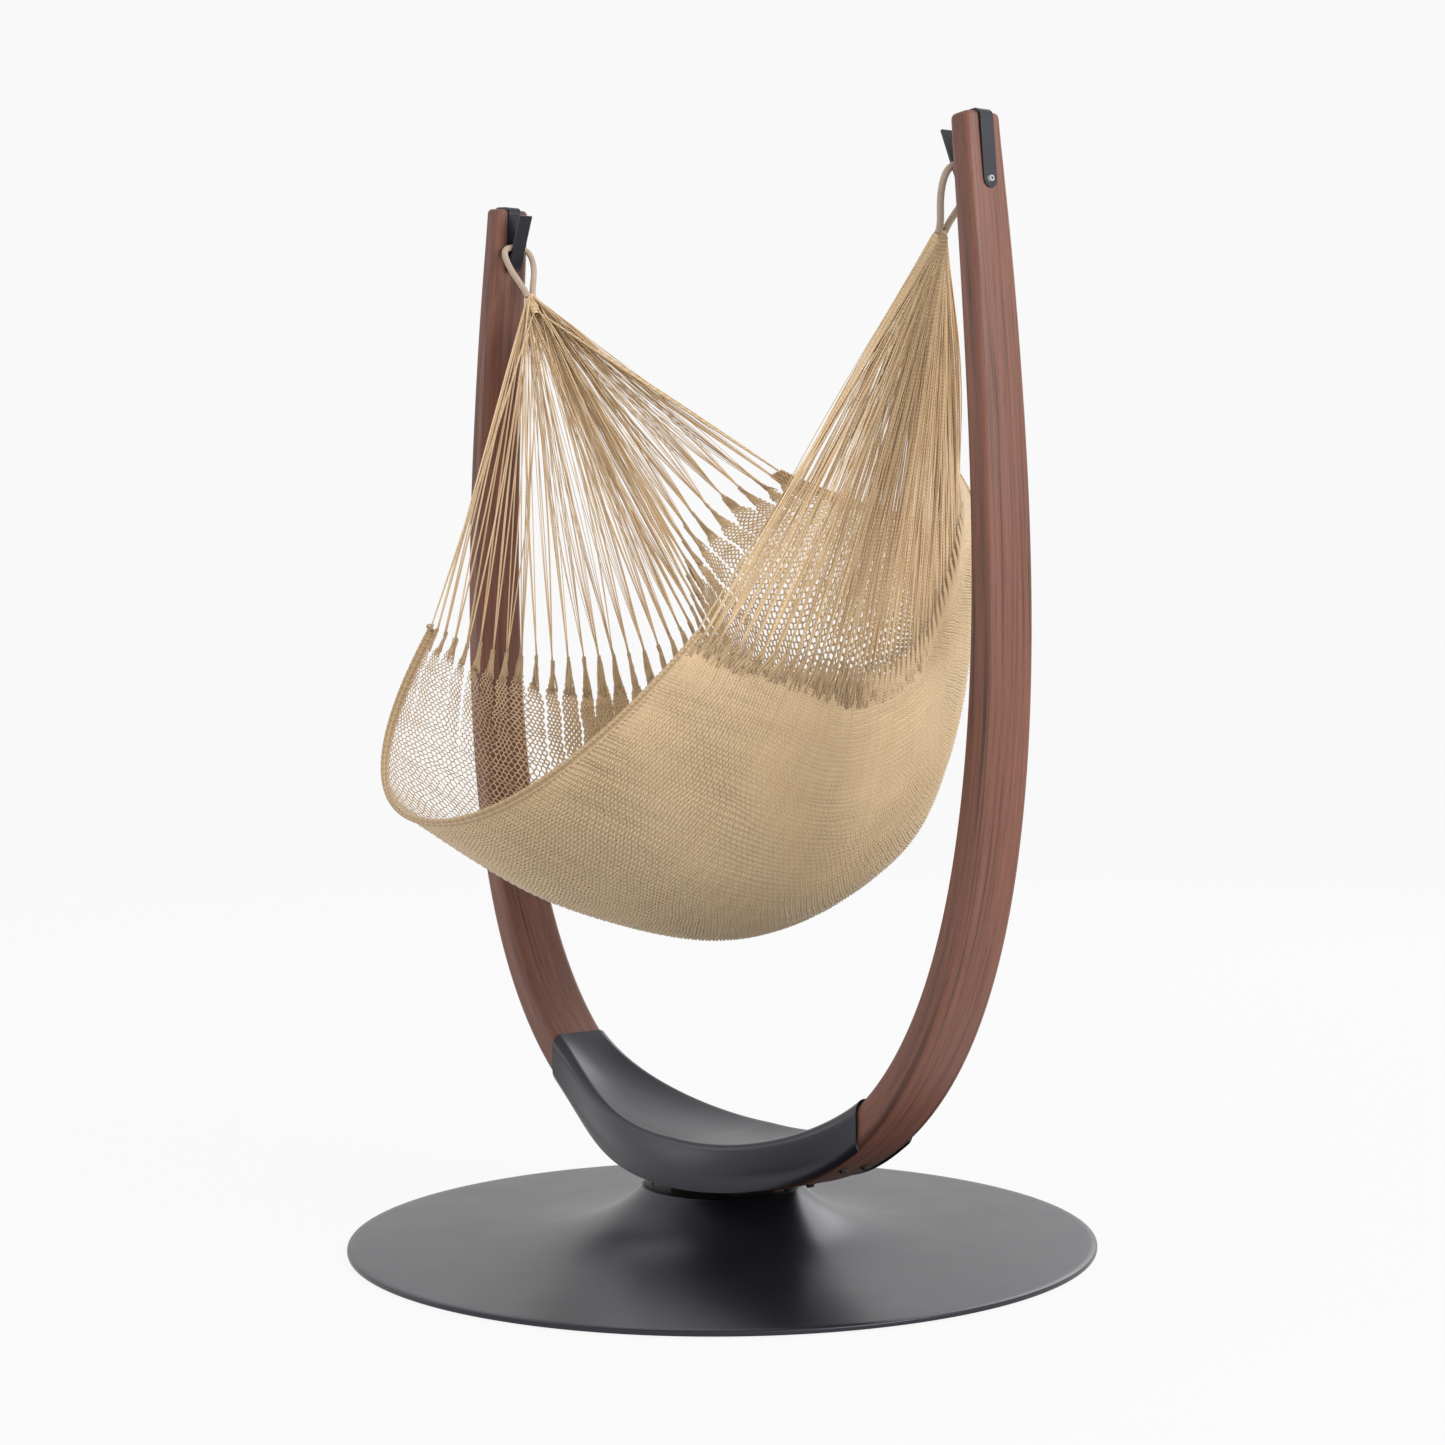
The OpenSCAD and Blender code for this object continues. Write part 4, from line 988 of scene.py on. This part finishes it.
def nettle_paths(sign, group, reach):
    """The paths of one fan's strings, in millimetres, with their tones and thicknesses."""
    middle, tips, start = tassel_tips(sign, group, reach)
    rng = np.random.default_rng(60 + group)
    f = np.linspace(0, 1, STRING_POINTS)
    belly = np.sin(math.pi * f)[:, None]
    axis = EYE_DIR * [sign, 1, 1]
    throat = SEAT * [sign, 1, 1] + axis * WHIPPING_FROM
    last = len(tips) - 1
    paths, tones, widths = [], [], []
    for k, tip in enumerate(tips):
        per, thick = nettle_plan(sign, middle[k])
        row = tips[min(k + 1, last)] - tips[max(k - 1, 0)]
        space = np.linalg.norm(row) / 2
        gather = unit(tip - start)
        out = unit(np.cross(gather, row))
        leave = unit(gather - (gather @ axis) * axis)
        aside = np.cross(axis, leave)
        for copy in range(per):
            place = k + (copy + 0.5) / per - 0.5
            bunch = 0.35 * swell(place, 71) + rng.normal(0, 0.22)
            deep = STRING_DEPTH * swell(place, 83, (3.1, 5.3, 8.9)) + rng.normal(0, 1.5)
            psi = 1.1 * swell(place, 91, (1.7, 4.1)) + rng.normal(0, 0.7)
            ring = math.cos(psi) * leave + math.sin(psi) * aside
            # each string comes up over the whipping and is tucked in at the throat
            top = throat + axis * TUCK + ring * (WHIPPING_R - 2.5)
            shoulder = throat + axis * SHOULDER + ring * (WHIPPING_R + 1)
            fan = (place - k) * space + bunch * space * 0.9
            end = tip + rng.normal(0, 0.8, 3)
            line = shoulder + (end - shoulder) * f[:, None]
            line = line + unit(row) * fan * belly * 0.8 + out * deep * belly ** 1.5
            sag = STRING_SAG[0] * (np.linalg.norm(tip - start) / STRING_SAG[1]) ** 2 * rng.uniform(0.1, 1.0)
            line = line - np.array([0, 0, 1.0]) * belly * sag
            paths.append(np.concatenate([[top, (top + shoulder) / 2 + ring * 0.8], line]))
            tones.append(np.clip(0.5 + 0.25 * swell(place, 97, (0.9, 2.1)) + rng.normal(0, 0.15), 0, 1))
            widths.append(thick)
    return np.array(paths), tones, np.array(widths)


class HAMMOCK_OT_nettles(bpy.types.Operator):
    """Run the nettle strings from the tassels over the whippings to the two throats."""

    bl_idname = "hammock.nettles"
    bl_label = "Nettle strings"

    def execute(self, context):
        for name, sign, group, *_, reach in TASSEL_SIDES:
            paths, tones, widths = nettle_paths(sign, group, reach)
            points, quads, data = tubes(paths * MM, widths[:, None] * settings().string, [0.1, 0.99, 0.1],
                                        sides=4, tone=tones)
            nettles = mesh_object("nettle_strings_" + name, points, quads, "hammock",
                                  "Plied nettle string", data)
            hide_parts("nettles_" + name)
        return {"FINISHED"}


# ---------- edge bands ----------
# each band's place from the front to the back, a cord's radius and the space between cords, and the number
# and the radius of its stays to each throat
EDGE_BANDS = (("front", 0.0, 2.5, 4.5, 2, 1.1), ("back", 1.0, 2.6, 4.6, 4, 1.6))
BAND_CORDS = 4
BAND_TURN = 900          # the band's cords turn slowly round each other, once in twice this length
BAND_POINTS, STAY_POINTS = 620, 160
KNOT_LOOPS = ((3.4, 0.0), (2.9, 1.3))   # size and turn of the two loops of the knot that ends the front band


def band_paths(v, gap):
    """The cords of one edge band, side by side along the bed's edge, in millimetres."""
    u = np.linspace(-1, 1, BAND_POINTS)
    edge = bed(u, np.full(BAND_POINTS, v))
    inner = bed(u, np.full(BAND_POINTS, 0.03 if v < 0.5 else 0.97))
    inward = unit(inner - edge)
    normal = bed_normal(u, np.full(BAND_POINTS, v))
    turn = math.pi * lengths_along(edge) / BAND_TURN
    paths = []
    for k in range(BAND_CORDS):
        place = (k - (BAND_CORDS - 1) / 2) * gap
        flat, high = place * np.cos(turn), 0.35 * place * np.sin(turn)
        paths.append(edge + inward * (4 + flat)[:, None] + normal * high[:, None])
    return np.array(paths)


def stay_paths(v, gap, stays):
    """The stays that carry one band's ends to both throats, in millimetres, and the front band's knot."""
    f = np.linspace(0, 1, STAY_POINTS)[:, None]
    paths = []
    for sign in (-1, 1):
        start = fan_start(sign)
        corner = bed(np.array(float(sign)), np.array(v))
        for k in range(stays):
            place = (k - (BAND_CORDS - 1) / 2) * gap * 0.5
            lift = np.array([0, 1.0 if v > 0.5 else -1.0, 0.3])
            paths.append(start + (corner - start) * f + lift * (np.sin(math.pi * f) * place * 0.9))
        if v < 0.5 and sign < 0:
            for size, first in KNOT_LOOPS:
                # a loose trefoil
                a = np.linspace(0, 2 * math.pi, STAY_POINTS)
                knot = np.stack([np.sin(a + first) + 2 * np.sin(2 * a + first), -np.sin(3 * a),
                                 np.cos(a + first) - 2 * np.cos(2 * a + first)], -1)
                paths.append(corner + knot * size)
    return np.array(paths)


class HAMMOCK_OT_edges(bpy.types.Operator):
    """Lay the cords of the two edge bands along the net and up to both throats."""

    bl_idname = "hammock.edges"
    bl_label = "Edge bands"

    def execute(self, context):
        up = [0.03, 0.99, 0.05]
        for name, v, r, gap, stays, stay_r in EDGE_BANDS:
            points, quads, data = tubes(band_paths(v, gap) * MM, r * MM, up, sides=10, twist=15 * MM,
                                        lobes=2, depth=0.32, tone=[0.15, 0.5, 0.1, 0.35])
            band = mesh_object(name + "_band", points, quads, "hammock", "Plied band cord", data)
            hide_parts(name + "_edge_band")
            points, quads, data = tubes(stay_paths(v, gap, stays) * MM, stay_r * MM, up, sides=8,
                                        twist=18 * MM, lobes=3, depth=0.16)
            mesh_object(name + "_band_stays", points, quads, "hammock", "Plied band cord", data)
        return {"FINISHED"}


# ---------- rope eyes ----------
EYE_POINTS = 420
BRAID_PITCH = 3.2        # between the crossings of the braid's strands
WHIP_TURNS, WHIP_CORD_R = 8, 1.6
CORE_POINTS = 20
CORE_R = ([0, 3, 15, 19], [6, 8.5, 8.5, 5.5])   # the bundle under the whipping: points along it, radii


def eye_path(sign):
    """The middle line of one rope eye, in metres, from its throat over the hook and back."""
    loop = np.concatenate([EYE_HALF, EYE_HALF[::-1] * [-1, 1]])
    flat = spline(loop, np.linspace(0, 1, EYE_POINTS))
    return (SEAT + np.outer(flat[:, 0], [0, 1, 0]) + np.outer(flat[:, 1], EYE_DIR)) * [sign, 1, 1] * MM


def throat_whipping(sign):
    """Close turns of cord round a throat, over the bundle of the eye's ends and the nettles."""
    side, axis, seat = (vector * [sign, 1, 1] for vector in (EYE_SIDE, EYE_DIR, SEAT))
    a = np.linspace(0, 2 * math.pi * WHIP_TURNS, WHIP_TURNS * 24 + 1)
    down = WHIPPING_FROM + WHIP_CORD_R + (WHIPPING_LENGTH - 2 * WHIP_CORD_R) * a / a[-1]
    grip = WHIPPING_R - WHIP_CORD_R
    wrap = (seat + np.outer(down, axis) + np.outer(grip * np.cos(a), [0, 1, 0])
            + np.outer(grip * 0.9 * np.sin(a), side)) * MM
    bundle = np.linspace(WHIPPING_FROM - 6, WHIPPING_FROM + WHIPPING_LENGTH + 10, CORE_POINTS)
    core = (seat + np.outer(bundle, axis)) * MM
    return joined([tubes(wrap[None], WHIP_CORD_R * MM, axis, sides=8),
                   tubes(core[None], np.interp(np.arange(CORE_POINTS), *CORE_R) * MM, [0.0, 1.0, 0.0],
                         sides=16)])


class HAMMOCK_OT_eyes(bpy.types.Operator):
    """Form the two rope eyes and whip their throats."""

    bl_idname = "hammock.eyes"
    bl_label = "Rope eyes"

    def execute(self, context):
        for name, sign in (("left", -1), ("right", 1)):
            path = eye_path(sign)
            run = lengths_along(path)
            # the braid swells and narrows a little with each crossing of its strands
            braid = 1 + 0.05 * np.sin(2 * math.pi * run / (BRAID_PITCH * MM))
            points, quads, data = tubes(path[None], EYE_R * MM * braid[None] * 0.97, EYE_SIDE * [sign, 1, 1],
                                        sides=16)
            eye = mesh_object("rope_loop_" + name, points, quads, "hammock",
                              "Braided eye rope", data)
            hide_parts("rope_eye_" + name)
            points, quads, data = throat_whipping(sign)
            piece = mesh_object("throat_binding_" + name, points, quads, "hammock",
                                "Plied cotton yarn", data)
            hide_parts("throat_whipping_" + name)
        return {"FINISHED"}


# ---------- stage ----------
# the camera stands this far from the swivel's axis and this high, in metres, at this angle round it
CAMERA_DISTANCE, CAMERA_HEIGHT, CAMERA_TURN = 4.5863, 1.0543, 52.82
CAMERA_PAN, CAMERA_TILT, CAMERA_ROLL = CAMERA_TURN - 0.066, 2.534, -0.325
CAMERA_LENS, CAMERA_SENSOR = 70.30, 36
FLOOR_HALF, FLOOR_LINES = 40.0, 3
# soft lights: name, place in metres, power in watts, and the side of the square in metres
LIGHTS = (("key", (4.4, 1.0, 3.3), 165, 2.8), ("back", (-1.5, 4.5, 3.0), 60, 3.0),
          ("left_rim", (-3.5, -3.5, 1.5), 14, 1.6))
LIGHTS_AIM = (0, 0, 0.8)


def place_camera(scene):
    """Stand the camera and turn it by its pan, tilt and roll."""
    turn, pan, tilt, roll = (math.radians(a) for a in (CAMERA_TURN, CAMERA_PAN, CAMERA_TILT, CAMERA_ROLL))
    forward = np.array([-math.sin(pan), math.cos(pan), 0])
    right = np.array([math.cos(pan), math.sin(pan), 0])
    up = np.array([0, 0, 1.0])
    look = forward * math.cos(tilt) - up * math.sin(tilt)
    above = up * math.cos(tilt) + forward * math.sin(tilt)
    across = right * math.cos(roll) + above * math.sin(roll)
    above = above * math.cos(roll) - right * math.sin(roll)
    data = bpy.data.cameras.new("camera")
    data.sensor_width = CAMERA_SENSOR
    data.lens = CAMERA_LENS
    camera = bpy.data.objects.new("camera", data)
    rows = [[across[k], above[k], -look[k], 0] for k in range(3)]
    camera.matrix_world = Matrix(rows + [[0, 0, 0, 1]])
    camera.location = (CAMERA_DISTANCE * math.sin(turn), -CAMERA_DISTANCE * math.cos(turn), CAMERA_HEIGHT)
    scene.collection.objects.link(camera)
    scene.camera = camera


def lay_floor(scene):
    """A pale floor, lit so evenly that it runs into the background: mostly its own light, a little shade."""
    material = new_material("Pale studio floor", {
        "Roughness": 1.0, "Specular IOR Level": 0.0, "Emission Strength": 0.903,
        "Base Color": (0.045, 0.045, 0.045, 1), "Emission Color": (1, 1, 1, 1)})[0]
    line = np.linspace(-FLOOR_HALF, FLOOR_HALF, FLOOR_LINES)
    x, y = np.meshgrid(line, line)
    # a fifth of a millimetre below the feet, so that they don't share a face with it
    points = np.stack([x.ravel(), y.ravel(), np.full(x.size, -0.2 * MM)], -1)
    mesh = bpy.data.meshes.new("floor")
    mesh.from_pydata(points.tolist(), [], grid_quads(FLOOR_LINES, FLOOR_LINES).tolist())
    mesh.materials.append(material)
    floor = bpy.data.objects.new("floor", mesh)
    scene.collection.objects.link(floor)


def light_studio(scene):
    """A white surround, one large soft key from the right, a soft back light and a faint rim."""
    world = bpy.data.worlds.new("studio")
    scene.world = world
    world.use_nodes = True
    background = world.node_tree.nodes["Background"]
    background.inputs["Color"].default_value = linear("#f9f9f9")
    background.inputs["Strength"].default_value = 1.0
    for name, place, power, size in LIGHTS:
        light = bpy.data.lights.new(name, "AREA")
        light.energy = power
        light.size = size
        lamp = bpy.data.objects.new(name, light)
        lamp.location = place
        aim = Vector(LIGHTS_AIM) - Vector(place)
        lamp.rotation_euler = aim.to_track_quat("-Z", "Y").to_euler()
        scene.collection.objects.link(lamp)


class HAMMOCK_OT_stage(bpy.types.Operator):
    """Set the camera, the pale floor and the soft studio lights."""

    bl_idname = "hammock.stage"
    bl_label = "Stage"

    def execute(self, context):
        place_camera(context.scene)
        lay_floor(context.scene)
        light_studio(context.scene)
        context.scene.view_settings.view_transform = "Standard"
        return {"FINISHED"}


class HAMMOCK_OT_declare(bpy.types.Operator):
    """Work out points across the net's widest course and along its middle line."""

    bl_idname = "hammock.declare"
    bl_label = "Declare the net"

    def execute(self, context):
        # the net's cut: across its widest course between the tassels, and along its middle line
        places = np.linspace(0, 1, 200)
        widest = bed(NET_EDGE * (2 * places - 1), np.full(200, 0.25))
        middle = bed(np.zeros(200), places)
        return {"FINISHED"}


STEPS = (HAMMOCK_OT_stage, HAMMOCK_OT_materials, HAMMOCK_OT_base, HAMMOCK_OT_arms, HAMMOCK_OT_saddle,
         HAMMOCK_OT_eyes, HAMMOCK_OT_net, HAMMOCK_OT_tassels, HAMMOCK_OT_nettles, HAMMOCK_OT_edges,
         HAMMOCK_OT_declare)


class HAMMOCK_PT_panel(bpy.types.Panel):
    """Lists the sizes, the colours and the steps."""

    bl_idname = "HAMMOCK_PT_panel"
    bl_label = "Hammock chair"
    bl_space_type = "VIEW_3D"
    bl_region_type = "UI"
    bl_category = "Hammock"

    def draw(self, context):
        for key in HammockSettings.__annotations__:
            self.layout.prop(context.scene.hammock_chair, key)
        for step in STEPS:
            self.layout.operator(step.bl_idname)


CLASSES = (HammockSettings, *STEPS, HAMMOCK_PT_panel)


def register():
    for cls in CLASSES:
        bpy.utils.register_class(cls)
    bpy.types.Scene.hammock_chair = PointerProperty(type=HammockSettings)


def unregister():
    del bpy.types.Scene.hammock_chair
    for cls in reversed(CLASSES):
        bpy.utils.unregister_class(cls)


def main():
    register()
    for step in STEPS:
        group, name = step.bl_idname.split(".")
        getattr(getattr(bpy.ops, group), name)()


if __name__ == "__main__":
    main()
